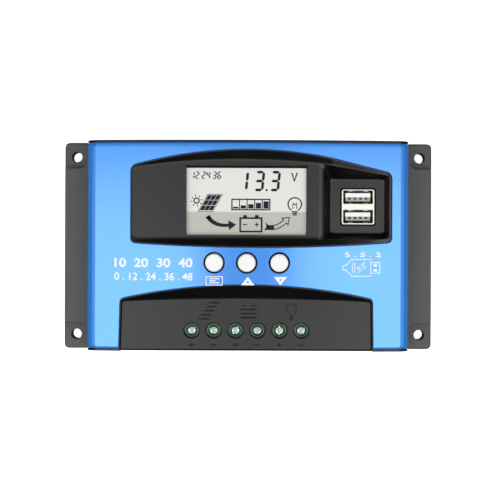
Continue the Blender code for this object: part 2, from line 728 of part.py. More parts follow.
def make_terminal_block():
    low = (FACE_CENTRE_X - BLOCK_HALF_X, BLOCK_Y[0], BOARD_TOP)
    high = (FACE_CENTRE_X + BLOCK_HALF_X, BLOCK_Y[1], BLOCK_TOP)
    block = part("terminal_block", box(low, high), GREEN_PLASTIC)
    wells, bores, chambers, slots = [], [], [], []
    for x in TERMINAL_X:
        at = (x, TERMINAL_Y)
        wells.append(cylinder(WELL_RADIUS, HEAD_SEAT, BLOCK_TOP + 1.0, at, 16))
        bores.append(cylinder(SHAFT_RADIUS + 0.35, CHAMBER_Z[1] - 1.0, HEAD_SEAT + 1.0, at, 12))
        mouth = (x - CHAMBER_HALF_X, BLOCK_Y[0] - 1.0, CHAMBER_Z[0])
        chambers.append(box(mouth, (x + CHAMBER_HALF_X, CHAMBER_BACK, CHAMBER_Z[1])))
        pin = (x - 0.9, BAR_Y[1] - PIN_DEPTH - GAP, BOARD_TOP - 1.0)
        slots.append(box(pin, (x + 0.9, BAR_Y[1] + 0.2, CHAMBER_Z[0] + 1.0)))
    cut(block, "screw_wells", together(wells))
    cut(block, "shaft_bores", together(bores))
    cut(block, "wire_chambers", together(chambers))
    cut(block, "pin_slots", together(slots))


def make_terminal_screws():
    """Captive screws with a cross and a slot. Each draws its clamp up as it turns."""
    top = HEAD_TOP - HEAD_SEAT
    lift = GAP
    profile = [
        (0.0, top),
        (HEAD_RADIUS - 0.7, top),
        (HEAD_RADIUS, top - 0.4),
        (HEAD_RADIUS, lift),
        (SHAFT_RADIUS, lift),
        (SHAFT_RADIUS, SHAFT_END - HEAD_SEAT + 0.3),
        (SHAFT_RADIUS - 0.4, SHAFT_END - HEAD_SEAT),
        (0.0, SHAFT_END - HEAD_SEAT),
    ]
    screw = part("terminal_screw", turned(profile, 14), STEEL)
    slot = tool("screw_slot", box((-3.0, -0.35, top - 0.6), (3.0, 0.35, top + 1.0)))
    cross = tool("screw_cross", box((-0.35, -1.3, top - 1.0), (0.35, 1.3, top + 1.0)))
    combine(screw, slot, "DIFFERENCE")
    combine(screw, cross, "DIFFERENCE")
    settle(screw)
    names = [f"terminal_screw_{i}" for i in range(1, 7)]
    copies(screw, names, [(x, TERMINAL_Y, HEAD_SEAT) for x in TERMINAL_X])


def make_wire_clamps():
    """Rising cages: the wire lies between a cage's floor and the contact bar that passes through it."""
    half_x, half_y = CLAMP_HALF
    clamp = part("wire_clamp", box((-half_x, -half_y, CLAMP_Z[0]), (half_x, half_y, CLAMP_Z[1])), STEEL)
    low = (-CLAMP_TUNNEL_HALF_X, -half_y - 1.0, CLAMP_TUNNEL_Z[0])
    cut(clamp, "clamp_tunnel", box(low, (CLAMP_TUNNEL_HALF_X, half_y + 1.0, CLAMP_TUNNEL_Z[1])))
    bore = cylinder(SHAFT_RADIUS + GAP, CLAMP_TUNNEL_Z[1] - 1.0, CLAMP_Z[1] + 1.0, sides=12)
    cut(clamp, "clamp_bore", bore)
    settle(clamp)
    copies(clamp, [f"wire_clamp_{i}" for i in range(1, 7)], [(x, TERMINAL_Y, 0.0) for x in TERMINAL_X])


def make_contact_bars():
    """Fixed bars with a pin through the power board."""
    bar = part("contact_bar", box((-2.1, BAR_Y[0], BAR_Z[0]), (2.1, BAR_Y[1], BAR_Z[1])), BRASS)
    pin = box((-0.6, BAR_Y[1] - PIN_DEPTH, POWER_BOARD_Z - 1.2), (0.6, BAR_Y[1], BAR_Z[1] - 0.5))
    extend(bar, "contact_pin", pin)
    settle(bar)
    copies(bar, [f"contact_bar_{i}" for i in range(1, 7)], [(x, 0.0, 0.0) for x in TERMINAL_X])


# Power board


def make_power_board():
    half_x, half_y = POWER_BOARD_HALF
    low = (-half_x, -half_y, POWER_BOARD_Z)
    board = part("power_board", box(low, (half_x, half_y, POWER_BOARD_Z + BOARD)), CIRCUIT_BOARD)
    holes = []
    for x in TERMINAL_X:
        corner = (x - 0.9, BAR_Y[1] - PIN_DEPTH - GAP, POWER_BOARD_Z - 1.0)
        holes.append(box(corner, (x + 0.9, BAR_Y[1] + GAP, POWER_BOARD_Z + BOARD + 1.0)))
    cut(board, "pin_holes", together(holes))
    header = part("board_header", box((-46.0, -8.0, BOARD_TOP), (-42.0, 18.0, 20.5)), DARK_PLASTIC)
    extend(header, "header_plug", box((-45.2, -7.0, 20.0), (-42.8, 17.0, DISPLAY_BOARD_Z - GAP)))
    chip = part("controller_chip", box((2.0, 2.0, BOARD_TOP), (11.0, 11.0, BOARD_TOP + 1.6)), DARK_PLASTIC)
    extend(chip, "chip_leads", box((1.0, 1.0, BOARD_TOP + 0.5), (12.0, 12.0, BOARD_TOP + 0.8)))


def circle(radius, sides=20):
    angles = [2 * math.pi * i / sides for i in range(sides)]
    return [(radius * math.cos(a), radius * math.sin(a)) for a in angles]


def make_power_parts():
    ring = part("choke", extruded([circle(9.0), circle(3.5)], BOARD_TOP, BOARD_TOP + 9.5), COPPER, (-22.0, 6.0, 0.0))
    rounding = ring.modifiers.new("rounding", "BEVEL")
    rounding.width = 1.5 * MM
    rounding.segments = 1
    foot, top = BOARD_TOP, BOARD_TOP + 12.5
    profile = [(0.0, top - 0.3), (4.2, top - 0.3), (4.4, top), (5.0, top - 0.4), (5.0, foot), (0.0, foot)]
    can = part("capacitor", turned(profile, 18), ALUMINIUM)
    copies(can, ["capacitor_1", "capacitor_2"], [(-30.0, -19.0, 0.0), (30.0, -19.0, 0.0)])


def make_transistors():
    """Power transistors that lie on the heat sink, with their legs bent up to the board."""
    chip = part("transistor", box((-5.0, -2.5, 0.0), (5.0, 6.5, 4.4)), DARK_PLASTIC)
    extend(chip, "transistor_tab", box((-4.9, -9.0, 0.1), (4.9, 0.0, 1.3)))
    cut(chip, "tab_hole", cylinder(1.8, -1.0, 2.0, (0.0, -5.8), 10))
    top = POWER_BOARD_Z - GAP - 4.9
    for i, x in enumerate((-2.5, 0.0, 2.5)):
        extend(chip, f"leg_{i}", box((x - 0.4, 6.0, 2.0), (x + 0.4, 10.5, 2.8)))
        extend(chip, f"leg_riser_{i}", box((x - 0.4, 9.7, 2.4), (x + 0.4, 10.5, top)))
    settle(chip)
    places = [(x, 0.0, 4.9) for x in (-30.0, -10.0, 10.0, 30.0)]
    copies(chip, [f"mosfet_{i}" for i in range(1, 5)], places)


make_rear_case()
make_heat_sink()
make_case_screws()
make_front_housing()
make_face_cover()
make_display()
make_buttons()
make_sockets()
make_terminal_block()
make_terminal_screws()
make_wire_clamps()
make_contact_bars()
make_power_board()
make_power_parts()
make_transistors()
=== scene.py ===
"""Looks of the solar charge controller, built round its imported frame.

Shapes are made in millimetres, in the frame's axes, and turned into metres as objects are made.
"""

import math

import bmesh
import bpy
from mathutils import Matrix, Vector


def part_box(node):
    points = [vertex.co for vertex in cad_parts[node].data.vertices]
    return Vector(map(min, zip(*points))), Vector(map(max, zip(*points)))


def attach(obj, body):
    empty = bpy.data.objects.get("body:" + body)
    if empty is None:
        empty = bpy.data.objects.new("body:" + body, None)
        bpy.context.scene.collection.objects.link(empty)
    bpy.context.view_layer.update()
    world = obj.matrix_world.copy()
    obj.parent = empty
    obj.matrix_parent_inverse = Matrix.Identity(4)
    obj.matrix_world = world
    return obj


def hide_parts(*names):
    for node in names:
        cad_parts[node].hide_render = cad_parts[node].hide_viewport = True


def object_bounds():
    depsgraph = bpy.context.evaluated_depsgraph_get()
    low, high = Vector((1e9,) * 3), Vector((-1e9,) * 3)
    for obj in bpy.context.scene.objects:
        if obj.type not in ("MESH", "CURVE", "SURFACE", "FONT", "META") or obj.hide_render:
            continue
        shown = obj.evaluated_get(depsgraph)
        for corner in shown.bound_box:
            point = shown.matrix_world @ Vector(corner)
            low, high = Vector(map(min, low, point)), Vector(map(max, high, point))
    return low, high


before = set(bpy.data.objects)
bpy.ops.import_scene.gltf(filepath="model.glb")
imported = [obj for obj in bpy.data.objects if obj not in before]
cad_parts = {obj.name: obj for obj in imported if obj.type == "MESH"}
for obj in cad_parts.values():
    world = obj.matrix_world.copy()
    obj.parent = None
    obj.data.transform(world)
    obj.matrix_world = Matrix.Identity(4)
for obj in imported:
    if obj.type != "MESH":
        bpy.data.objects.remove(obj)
CAD_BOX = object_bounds()

MM = 0.001


def box_mm(node):
    low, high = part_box(node)
    return low / MM, high / MM


def middle_mm(node):
    low, high = box_mm(node)
    return (low + high) / 2


COVER_LOW, COVER_HIGH = box_mm("face_cover")
HOUSING_LOW, HOUSING_HIGH = box_mm("front_housing")
CASE_LOW, CASE_HIGH = box_mm("rear_case")
CROWN = COVER_HIGH.z
BODY_HALF_X = COVER_HIGH.x
BODY_HALF_Y = HOUSING_HIGH.y
COVER_HALF_Y = COVER_HIGH.y
ARCH_RADIUS = 600.0
SHOULDER_RADIUS = 5.5
ARCH_STEPS = 48
SHOULDER_STEPS = 12
COVER_SHEET = 0.8
GAP = 0.3
BED = COVER_SHEET + GAP
WALL = 2.0
RIM = 0.7
DECK = 37.1
SHELF = 34.9
WELL_FLOOR = 32.0
CAVITY_HALF_X = 66.6
CAVITY_HALF_Y = 43.5
BUTTONS = ("left", "middle", "right")
TERMINALS = range(1, 7)
BUTTON_CENTRES = {name: middle_mm(f"button_{name}") for name in BUTTONS}
SCREW_CENTRES = {i: middle_mm(f"terminal_screw_{i}") for i in TERMINALS}
POSTS = [middle_mm(f"case_screw_{i}") for i in range(1, 5)]
DISPLAY_SCREWS = [middle_mm(f"display_screw_{i}") for i in (1, 2)]
WINDOW_MARGIN = 2.2  # how far the display window reaches under the deck on each side
CURVE_STEPS = 28
CORNER_STEPS = 8
EDGE_STEPS = 4
RECESS_STEPS = 6
LONGEST_ROUND = 0.4  # the most of a recess's wall that the rounding at either end takes
CUTTER_RISE = 3.0  # how far a hole's cutter stands above the surface that it cuts


# Meshes, in millimetres


def taken_mesh(data, modify=None):
    """A welded mesh of a curve, text or mesh datablock, which is then removed."""
    helper = bpy.data.objects.new("helper", data)
    bpy.context.scene.collection.objects.link(helper)
    if modify:
        modify(helper)
    bpy.context.view_layer.update()
    graph = bpy.context.evaluated_depsgraph_get()
    mesh = bpy.data.meshes.new_from_object(helper.evaluated_get(graph))
    made = bmesh.new()
    made.from_mesh(mesh)
    bmesh.ops.remove_doubles(made, verts=made.verts, dist=1e-5)
    bmesh.ops.recalc_face_normals(made, faces=made.faces)
    bpy.data.objects.remove(helper, do_unlink=True)
    bpy.data.meshes.remove(mesh)
    return made


def shifted(shape, x=0.0, y=0.0, z=0.0):
    bmesh.ops.translate(shape, verts=shape.verts, vec=(x, y, z))
    return shape


def rotated(shape, degrees, axis="Z"):
    turn = Matrix.Rotation(math.radians(degrees), 3, axis)
    bmesh.ops.rotate(shape, verts=shape.verts, cent=(0.0, 0.0, 0.0), matrix=turn)
    return shape


def box(low, high, bevel=0.0):
    made = bmesh.new()
    bmesh.ops.create_cube(made, size=1.0)
    bmesh.ops.scale(made, verts=made.verts, vec=Vector(high) - Vector(low))
    bmesh.ops.translate(made, verts=made.verts, vec=(Vector(high) + Vector(low)) / 2)
    if bevel:
        bmesh.ops.bevel(made, geom=made.edges[:], offset=bevel, segments=3, profile=0.5, affect="EDGES")
    return made


def extruded(outlines, low, high):
    """A flat outline from low to high along Z. Any further outlines are holes in it."""
    curve = bpy.data.curves.new("outline", "CURVE")
    curve.dimensions = "2D"
    curve.fill_mode = "BOTH"
    curve.extrude = (high - low) / 2
    for points in outlines:
        spline = curve.splines.new("POLY")
        spline.points.add(len(points) - 1)
        spline.use_cyclic_u = True
        for point, place in zip(spline.points, points):
            point.co = (place[0], place[1], 0.0, 1.0)
    return shifted(taken_mesh(curve), z=(low + high) / 2)


def along_y(section, low, high):
    """A section given as (x, z) points, from low to high along Y."""
    return rotated(extruded([section], -high, -low), 90.0, "X")


def along_x(section, low, high):
    """A section given as (y, z) points, from low to high along X."""
    return rotated(rotated(extruded([section], low, high), 90.0, "X"), 90.0, "Z")


def turned(profile, steps=48, at=(0.0, 0.0)):
    """A solid of revolution about Z, from (radius, height) points down its outer side."""
    line = bmesh.new()
    points = [line.verts.new((radius, 0.0, height)) for radius, height in profile]
    for pair in zip(points, points[1:]):
        line.edges.new(pair)
    mesh = bpy.data.meshes.new("profile")
    line.to_mesh(mesh)
    line.free()

    def spin(helper):
        screw = helper.modifiers.new("turn", "SCREW")
        screw.steps = steps
        screw.render_steps = steps
        screw.use_merge_vertices = True
        screw.merge_threshold = 0.0001

    return shifted(taken_mesh(mesh, spin), at[0], at[1])


def lofted(rings, tunnel=False):
    """A solid through rings of equally many points. A tunnel's are open, and its last meets its first."""
    made = bmesh.new()
    loops = [[made.verts.new(point) for point in ring] for ring in rings]
    pairs = list(zip(loops, loops[1:]))
    ends = [loops[0], loops[-1]]
    if tunnel:
        pairs.append((loops[-1], loops[0]))
        ends = [[loop[0] for loop in loops], [loop[-1] for loop in loops]]
    for lower, upper in pairs:
        for i in range(1 if tunnel else 0, len(lower)):
            made.faces.new((lower[i - 1], lower[i], upper[i], upper[i - 1]))
    for end in ends:
        made.faces.new(end)
    bmesh.ops.recalc_face_normals(made, faces=made.faces)
    return made


def cylinder(radius, top, bottom, steps, at):
    return turned([(0.0, top), (radius, top), (radius, bottom), (0.0, bottom)], steps, at)


def cross(reach, half, low, high):
    """The two arms of a cross-head recess."""
    return [box((-x, -y, low), (x, y, high)) for x, y in ((reach, half), (half, reach))]


def together(shapes):
    """One mesh that holds several shapes."""
    whole = bmesh.new()
    for shape in shapes:
        mesh = bpy.data.meshes.new("shape")
        shape.to_mesh(mesh)
        shape.free()
        whole.from_mesh(mesh)
        bpy.data.meshes.remove(mesh)
    return whole


# Outlines


def curve_point(side, t):
    if len(side) == 2:
        return Vector(side[0]).lerp(Vector(side[1]), t)
    start, middle, end = (Vector(point) for point in side)
    return start * ((1 - t) * (1 - 2 * t)) + middle * (4 * t * (1 - t)) + end * (t * (2 * t - 1))


def outline(sides, radius):
    """A closed outline of sides that run head to tail, with its corners rounded."""
    points = []
    for side, following in zip(sides, sides[1:] + sides[:1]):
        count = CURVE_STEPS if len(side) == 3 else 1
        trim = radius / math.dist(side[0], side[-1])
        next_trim = radius / math.dist(following[0], following[-1])
        points += [curve_point(side, trim + (1 - 2 * trim) * i / count) for i in range(count + 1)]
        before, corner, after = points[-1], Vector(side[-1]), curve_point(following, next_trim)
        for i in range(1, CORNER_STEPS):
            t = i / CORNER_STEPS
            points.append(before.lerp(corner, t).lerp(corner.lerp(after, t), t))
    return points


def sides_from(*starts):
    """Sides that run head to tail: each is given by its start, and by its middle where it is curved."""
    return [side + [following[0]] for side, following in zip(starts, starts[1:] + starts[:1])]


def rectangle(low, high):
    left, bottom, right, top = low[0], low[1], high[0], high[1]
    return sides_from([(left, bottom)], [(right, bottom)], [(right, top)], [(left, top)])


def rectangle_about(x, y, half_x, half_y):
    return rectangle((x - half_x, y - half_y), (x + half_x, y + half_y))


def grown(sides, margin):
    """The sides with every point moved out from the middle of their box, or in where margin is negative."""
    across = [point[0] for side in sides for point in side]
    along = [point[1] for side in sides for point in side]
    centre = ((min(across) + max(across)) / 2, (min(along) + max(along)) / 2)

    def moved(point):
        return tuple(c + margin * math.copysign(1.0, c - m) for c, m in zip(point, centre))

    return [[moved(point) for point in side] for side in sides]


def circle(radius, steps=40, centre=(0.0, 0.0), start=0.0, sweep=360.0):
    count = steps if sweep == 360.0 else steps + 1
    angles = [math.radians(start + sweep * i / steps) for i in range(count)]
    return [(centre[0] + radius * math.cos(a), centre[1] + radius * math.sin(a)) for a in angles]


def ribbon(points, width, closed=False):
    """Outlines of a line of that width, with mitred corners."""
    spots = [Vector(point) for point in points]
    count = len(spots)
    left, right = [], []
    for i, spot in enumerate(spots):
        before = spots[i - 1] if closed or i else None
        after = spots[(i + 1) % count] if closed or i < count - 1 else None
        ahead = (after - spot).normalized() if after is not None else (spot - before).normalized()
        behind = (spot - before).normalized() if before is not None else ahead
        normal = Vector((-ahead.y - behind.y, ahead.x + behind.x)).normalized()
        reach = width / 2 / max(0.45, normal.dot(Vector((-ahead.y, ahead.x))))
        left.append(tuple(spot + normal * reach))
        right.append(tuple(spot - normal * reach))
    return [left, right] if closed else [left + right[::-1]]


def edge_rings(low, high, round_low, round_high):
    """The (distance in, height) of each ring of a plate whose lower and upper edges are rounded."""
    angles = [math.pi / 2 * i / EDGE_STEPS for i in range(EDGE_STEPS + 1)]
    lower = [(round_low * (1 - math.sin(a)), low + round_low * (1 - math.cos(a))) for a in angles]
    upper = [(round_high * (1 - math.cos(a)), high - round_high * (1 - math.sin(a))) for a in angles]
    return (lower if round_low else lower[-1:]) + (upper if round_high else upper[:1])


def slab(sides, radius, low, high, round_low=0.0, round_high=0.0):
    """A plate with the sides' outline, its lower and upper edges rounded."""
    rings = []
    for step_in, z in edge_rings(low, high, round_low, round_high):
        loop = outline(grown(sides, -step_in), max(0.02, radius - step_in))
        rings.append([(x, y, z) for x, y in loop])
    return lofted(rings)


def plate(points, low, high, round_high):
    """A plate of any anticlockwise outline, its upper edge rounded."""
    rings = []
    for step_in, z in edge_rings(low, high, 0.0, round_high):
        loop = ribbon(points, 2 * step_in, closed=True)[0] if step_in > 1e-6 else points
        rings.append([(x, y, z) for x, y in loop])
    return lofted(rings)


class Marks:
    """Flat marks between two heights."""

    def __init__(self, low, high):
        self.low, self.high, self.shapes = low, high, []

    def area(self, *outlines):
        """A filled outline. Any further outlines are holes in it."""
        self.shapes.append(extruded(outlines, self.low, self.high))

    def line(self, points, width, closed=False):
        self.area(*ribbon(points, width, closed))

    def block(self, left, low, right, high):
        self.area([(left, low), (right, low), (right, high), (left, high)])

    def frame(self, left, low, right, high, width):
        self.line([(left, low), (right, low), (right, high), (left, high)], width, closed=True)

    def dash(self, x, y, half, width):
        """A level line about a point."""
        self.line([(x - half, y), (x + half, y)], width)


def arch_height(x, drop=0.0):
    """Height over x of the surface that lies drop under the cover's outer face."""
    return CROWN - ARCH_RADIUS + math.sqrt((ARCH_RADIUS - drop) ** 2 - x**2)


def face_section(drop, foot):
    """Section (x, z) from the right foot over the arch to the left foot, drop under the cover's face."""
    hub = CROWN - ARCH_RADIUS
    shoulder_x = BODY_HALF_X - SHOULDER_RADIUS
    shoulder_z = hub + math.sqrt((ARCH_RADIUS - SHOULDER_RADIUS) ** 2 - shoulder_x**2)
    turn = math.atan2(shoulder_z - hub, shoulder_x)
    bend = SHOULDER_RADIUS - drop
    right = [(BODY_HALF_X - drop, foot)]
    for i in range(SHOULDER_STEPS + 1):
        angle = turn * i / SHOULDER_STEPS
        right.append((shoulder_x + bend * math.cos(angle), shoulder_z + bend * math.sin(angle)))
    left = [(-x, z) for x, z in reversed(right)]
    crown = []
    for i in range(1, ARCH_STEPS):
        angle = turn + (math.pi - 2 * turn) * i / ARCH_STEPS
        reach = ARCH_RADIUS - drop
        crown.append((reach * math.cos(angle), hub + reach * math.sin(angle)))
    return right + crown + left


def arched_rings(stations, foot):
    """Sections at (drop, y) stations."""
    return [[(x, y, z) for x, z in face_section(drop, foot)] for drop, y in stations]


def recess(floor_sides, floor, brink_sides, brink, radius, floor_round, brink_round, lip=None):
    """A cutter with a rounded floor edge, sloping walls, and a brink at height brink(x) rounded to a lip."""
    inner = outline(grown(floor_sides, -floor_round), radius)
    lower = outline(floor_sides, radius)
    upper = outline(brink_sides, radius)
    outer = outline(lip or grown(brink_sides, brink_round), radius)
    floor_share, brink_share = [], []
    for a, b in zip(lower, upper):
        length = math.dist((*a, floor), (*b, brink(b[0])))
        floor_share.append(min(LONGEST_ROUND, floor_round / length))
        brink_share.append(min(LONGEST_ROUND, brink_round / length))
    rings = [[] for _ in range(2 * RECESS_STEPS + 3)]
    for i, (a, b) in enumerate(zip(lower, upper)):
        start, foot = Vector((*inner[i], floor)), Vector((*a, floor))
        top, edge = Vector((*b, brink(b[0]))), Vector((*outer[i], brink(outer[i][0])))
        first, last = foot.lerp(top, floor_share[i]), foot.lerp(top, 1 - brink_share[i])
        for k in range(RECESS_STEPS + 1):
            t = k / RECESS_STEPS
            rings[k].append(start.lerp(foot, t).lerp(foot.lerp(first, t), t))
            rings[RECESS_STEPS + 1 + k].append(last.lerp(top, t).lerp(top.lerp(edge, t), t))
        rings[-1].append(Vector((edge.x, edge.y, CROWN + 5.0)))
    return lofted(rings)


def tapered_hole(radius, low, surface, width, depth, at):
    """A round cutter up through a surface, wider there by a steep taper."""
    brim = radius + width
    top = surface + CUTTER_RISE
    profile = [(0.0, top), (brim + 0.12, top), (brim + 0.12, surface), (brim, surface - 0.08)]
    profile += [(radius, surface - depth), (radius, low), (0.0, low)]
    return turned(profile, 48, at)


def hole_cutter(radius, low, surface, rounding, at, steps=48):
    """A round cutter up through a surface, with a rounded edge there."""
    profile = [(0.0, surface + CUTTER_RISE), (radius + rounding, surface + CUTTER_RISE)]
    for i in range(EDGE_STEPS + 1):
        a = math.pi / 2 * i / EDGE_STEPS
        profile.append((radius + rounding * (1 - math.sin(a)), surface - rounding * (1 - math.cos(a))))
    profile += [(radius, low), (0.0, low)]
    return turned(profile, steps, at)


# The face's outlines


COVER_WINDOW = sides_from(
    [(-50.6, 1.2), (6.3, -0.7)],
    [(62.1, 1.6)],
    [(62.1, 31.5)],
    [(35.0, 38.1), (-7.65, 41.3)],
    [(-50.6, 34.5)],
)
DECK_EDGE = sides_from(
    [(-50.0, 3.0), (6.1, 3.4)],
    [(61.6, 3.2)],
    [(61.6, 30.4)],
    [(34.0, 35.2), (-7.8, 37.2)],
    [(-50.0, 34.1)],
)
WELL_LOW, WELL_HIGH = (35.7, 5.4), (59.3, 29.2)
WELL_BRINK = sides_from([(32.4, 3.4)], [(60.9, 3.4)], [(60.9, 30.2)], [(32.4, 35.0)])
WELL_LIP = sides_from([(30.0, 2.8)], [(61.5, 2.8)], [(61.5, 30.7)], [(30.0, 36.0)])
TERMINAL_NOTCH = sides_from(
    [(-55.8, -49.0)],
    [(54.2, -49.0)],
    [(53.9, -22.9), (-0.5, -16.7)],
    [(-55.1, -22.9)],
)
SHELF_EDGE = sides_from(
    [(-55.1, -49.0)],
    [(53.5, -49.0)],
    [(53.2, -23.8), (-0.5, -22.8)],
    [(-54.4, -23.8)],
)


# Objects


def solid(name, shape):
    bmesh.ops.scale(shape, verts=shape.verts, vec=(MM, MM, MM))
    mesh = bpy.data.meshes.new(name)
    shape.to_mesh(mesh)
    shape.free()
    obj = bpy.data.objects.new(name, mesh)
    bpy.context.scene.collection.objects.link(obj)
    return obj


def carved(name, shape, steps):
    """A shape with each (operation, shape) applied to it in turn, as an object."""
    obj = solid(name, shape)
    tools = []
    for i, (operation, helper) in enumerate(steps):
        helper = helper if isinstance(helper, bpy.types.Object) else solid(f"{name}_tool_{i}", helper)
        tools.append(helper)
        boolean = obj.modifiers.new(f"step_{i}", "BOOLEAN")
        boolean.operation = operation
        boolean.solver = "EXACT"
        boolean.object = helper
    bpy.context.view_layer.update()
    graph = bpy.context.evaluated_depsgraph_get()
    mesh = bpy.data.meshes.new_from_object(obj.evaluated_get(graph))
    obj.modifiers.clear()
    obj.data = mesh
    for helper in tools:
        bpy.data.objects.remove(helper, do_unlink=True)
    return obj


def finished(obj, material, body="case", replaces=(), angle=32.0, weighted=True):
    """Gives a piece its finish and its body, and hides the CAD nodes that it replaces."""
    obj.data.materials.clear()
    obj.data.materials.append(material)
    obj.data.shade_smooth()
    obj.data.set_sharp_from_angle(angle=math.radians(angle))
    if weighted:
        modifier = obj.modifiers.new("weighted", "WEIGHTED_NORMAL")
        modifier.keep_sharp = True
    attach(obj, body)
    if replaces:
        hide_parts(*replaces)


def piece(name, shape, material, body="case", replaces=(), weighted=True):
    finished(solid(name, shape), material, body, replaces, weighted=weighted)


# Materials


MOTTLE_SIZE = 9.0


def feed(tree, node, sockets):
    """Sets each of a node's sockets to a value, or links it to another node's output."""
    for socket, source in sockets.items():
        if isinstance(source, bpy.types.NodeSocket):
            tree.links.new(source, node.inputs[socket])
        else:
            node.inputs[socket].default_value = source
    return node


def add_node(tree, kind, sockets):
    return feed(tree, tree.nodes.new(f"ShaderNode{kind}"), sockets)


def surface(
    name,
    colour,
    roughness,
    metallic=0.0,
    grain=0.25,
    shade=0.1,
    spread=0.05,
    bump=0.0,
    stretch=(1.0, 1.0, 1.0),
    mottle=0.0,
    coat=0.0,
    specular=0.5,
):
    """A finish with a fine grain of that size in millimetres, in its colour, roughness and relief."""
    made = bpy.data.materials.new(name)
    made.use_nodes = True
    tree = made.node_tree
    coords = tree.nodes.new("ShaderNodeTexCoord")
    mapping = add_node(tree, "Mapping", {"Scale": stretch, "Vector": coords.outputs["Object"]})
    sockets = {"Scale": 1.0 / (grain * MM), "Detail": 2.0, "Vector": mapping.outputs["Vector"]}
    fine = add_node(tree, "TexNoise", sockets)
    sockets = {"Scale": 1.0 / (MOTTLE_SIZE * MM), "Detail": 3.0, "Vector": coords.outputs["Object"]}
    broad = add_node(tree, "TexNoise", sockets)
    blend = add_node(tree, "Math", {0: broad.outputs["Fac"], 1: mottle, 2: fine.outputs["Fac"]})
    blend.operation = "MULTIPLY_ADD"
    limits = {"From Min": 0.3 + 0.3 * mottle, "From Max": 0.7 + 0.7 * mottle, "Value": blend.outputs[0]}
    ramp = add_node(tree, "MapRange", limits)
    mix = tree.nodes.new("ShaderNodeMix")
    mix.data_type = "RGBA"
    mix.inputs["A"].default_value = (*(min(1.0, c * (1 - shade)) for c in colour), 1.0)
    mix.inputs["B"].default_value = (*(min(1.0, c * (1 + shade)) for c in colour), 1.0)
    tree.links.new(ramp.outputs["Result"], mix.inputs["Factor"])
    limits = {"To Min": roughness - spread, "To Max": roughness + spread, "Value": ramp.outputs["Result"]}
    rough = add_node(tree, "MapRange", limits)
    sockets = {
        "Base Color": mix.outputs["Result"],
        "Roughness": rough.outputs["Result"],
        "Metallic": metallic,
        "Specular IOR Level": specular,
        "Coat Weight": coat,
        "Coat Roughness": 0.12,
    }
    if bump:
        relief = add_node(
            tree, "Bump", {"Strength": 0.6, "Distance": bump * MM, "Height": fine.outputs["Fac"]}
        )
        sockets["Normal"] = relief.outputs["Normal"]
    feed(tree, tree.nodes["Principled BSDF"], sockets)
    return made


def display_surface(name, upper, lower, border_y):
    """The display's reflector: pale grey with a fine grain, and a darker, greener band below border_y."""
    made = surface(name, upper, 0.35, grain=0.2, shade=0.03, spread=0.03, mottle=0.3, coat=0.6)
    tree = made.node_tree
    shader = tree.nodes["Principled BSDF"]
    mix = shader.inputs["Base Color"].links[0].from_node
    coords = tree.nodes.new("ShaderNodeTexCoord")
    parts = tree.nodes.new("ShaderNodeSeparateXYZ")
    tree.links.new(coords.outputs["Object"], parts.inputs["Vector"])
    step = tree.nodes.new("ShaderNodeMapRange")
    step.interpolation_type = "SMOOTHSTEP"
    step.inputs["From Min"].default_value = (border_y - 0.5) * MM
    step.inputs["From Max"].default_value = (border_y + 0.5) * MM
    tree.links.new(parts.outputs["Y"], step.inputs["Value"])
    band = tree.nodes.new("ShaderNodeMix")
    band.data_type = "RGBA"
    band.inputs["A"].default_value = (*lower, 1.0)
    tree.links.new(step.outputs["Result"], band.inputs["Factor"])
    tree.links.new(mix.outputs["Result"], band.inputs["B"])
    tree.links.new(band.outputs["Result"], shader.inputs["Base Color"])
    return made


BLACK = surface(
    "satin_black", (0.003, 0.003, 0.0028), 0.31, grain=0.3, shade=0.35, bump=0.004, mottle=0.5, specular=0.43
)
EAR_BLACK = surface("matte_black", (0.06, 0.059, 0.056), 0.5, shade=0.2, bump=0.01, mottle=0.5)
MARK_BLACK = surface("mark_black", (0.002, 0.002, 0.002), 0.6, grain=0.3, shade=0.3, specular=0.15)
BLUE = surface(
    "anodised_blue", (0.034, 0.265, 0.8), 0.18, 0.3, grain=0.3, spread=0.04, bump=0.0015, mottle=0.2,
    specular=1.0,
)
WHITE = surface("white_cap", (0.86, 0.86, 0.85), 0.35, grain=0.5, shade=0.02, mottle=0.4)
CARRIER = surface("contact_carrier", (0.34, 0.33, 0.31), 0.5, grain=0.4, mottle=0.4)
PRINT = surface("white_print", (0.85, 0.87, 0.9), 0.5, grain=0.2, shade=0.04)
GREEN = surface("green_block", (0.04, 0.24, 0.07), 0.24, grain=0.3, shade=0.12, spread=0.06, mottle=0.6)
DARK = surface("dark_moulding", (0.012, 0.012, 0.014), 0.5, grain=0.2, shade=0.25, spread=0.06, bump=0.004)
STEEL = surface("nickel_steel", (0.55, 0.57, 0.57), 0.2, 1.0, shade=0.08, spread=0.08, mottle=0.6)
ZINC = surface(
    "zinc_plate", (0.33, 0.38, 0.39), 0.24, 1.0, grain=0.3, shade=0.15, spread=0.1, bump=0.004, mottle=0.6
)
SHELL = surface("socket_shell", (0.60, 0.58, 0.52), 0.36, 1.0, shade=0.08, spread=0.08, mottle=0.6)
SPRING = surface("spring_metal", (0.50, 0.44, 0.34), 0.3, 1.0, grain=0.2, spread=0.08)
BRASS = surface("contact_brass", (0.72, 0.56, 0.27), 0.3, 1.0, spread=0.08, mottle=0.5)
ALUMINIUM = surface(
    "mill_aluminium", (0.66, 0.67, 0.68), 0.36, 1.0, grain=0.12, shade=0.08, spread=0.08, stretch=(1, 0.04, 1)
)
COPPER = surface(
    "copper_wire", (0.70, 0.31, 0.15), 0.35, 0.9, grain=0.5, shade=0.3, spread=0.08, stretch=(1, 1, 0.1)
)
BOARD = surface("solder_mask", (0.02, 0.16, 0.07), 0.4, grain=0.8, shade=0.25, spread=0.08, mottle=0.5)
GUIDE = surface("light_guide_white", (0.85, 0.86, 0.84), 0.5, grain=0.4, shade=0.03)
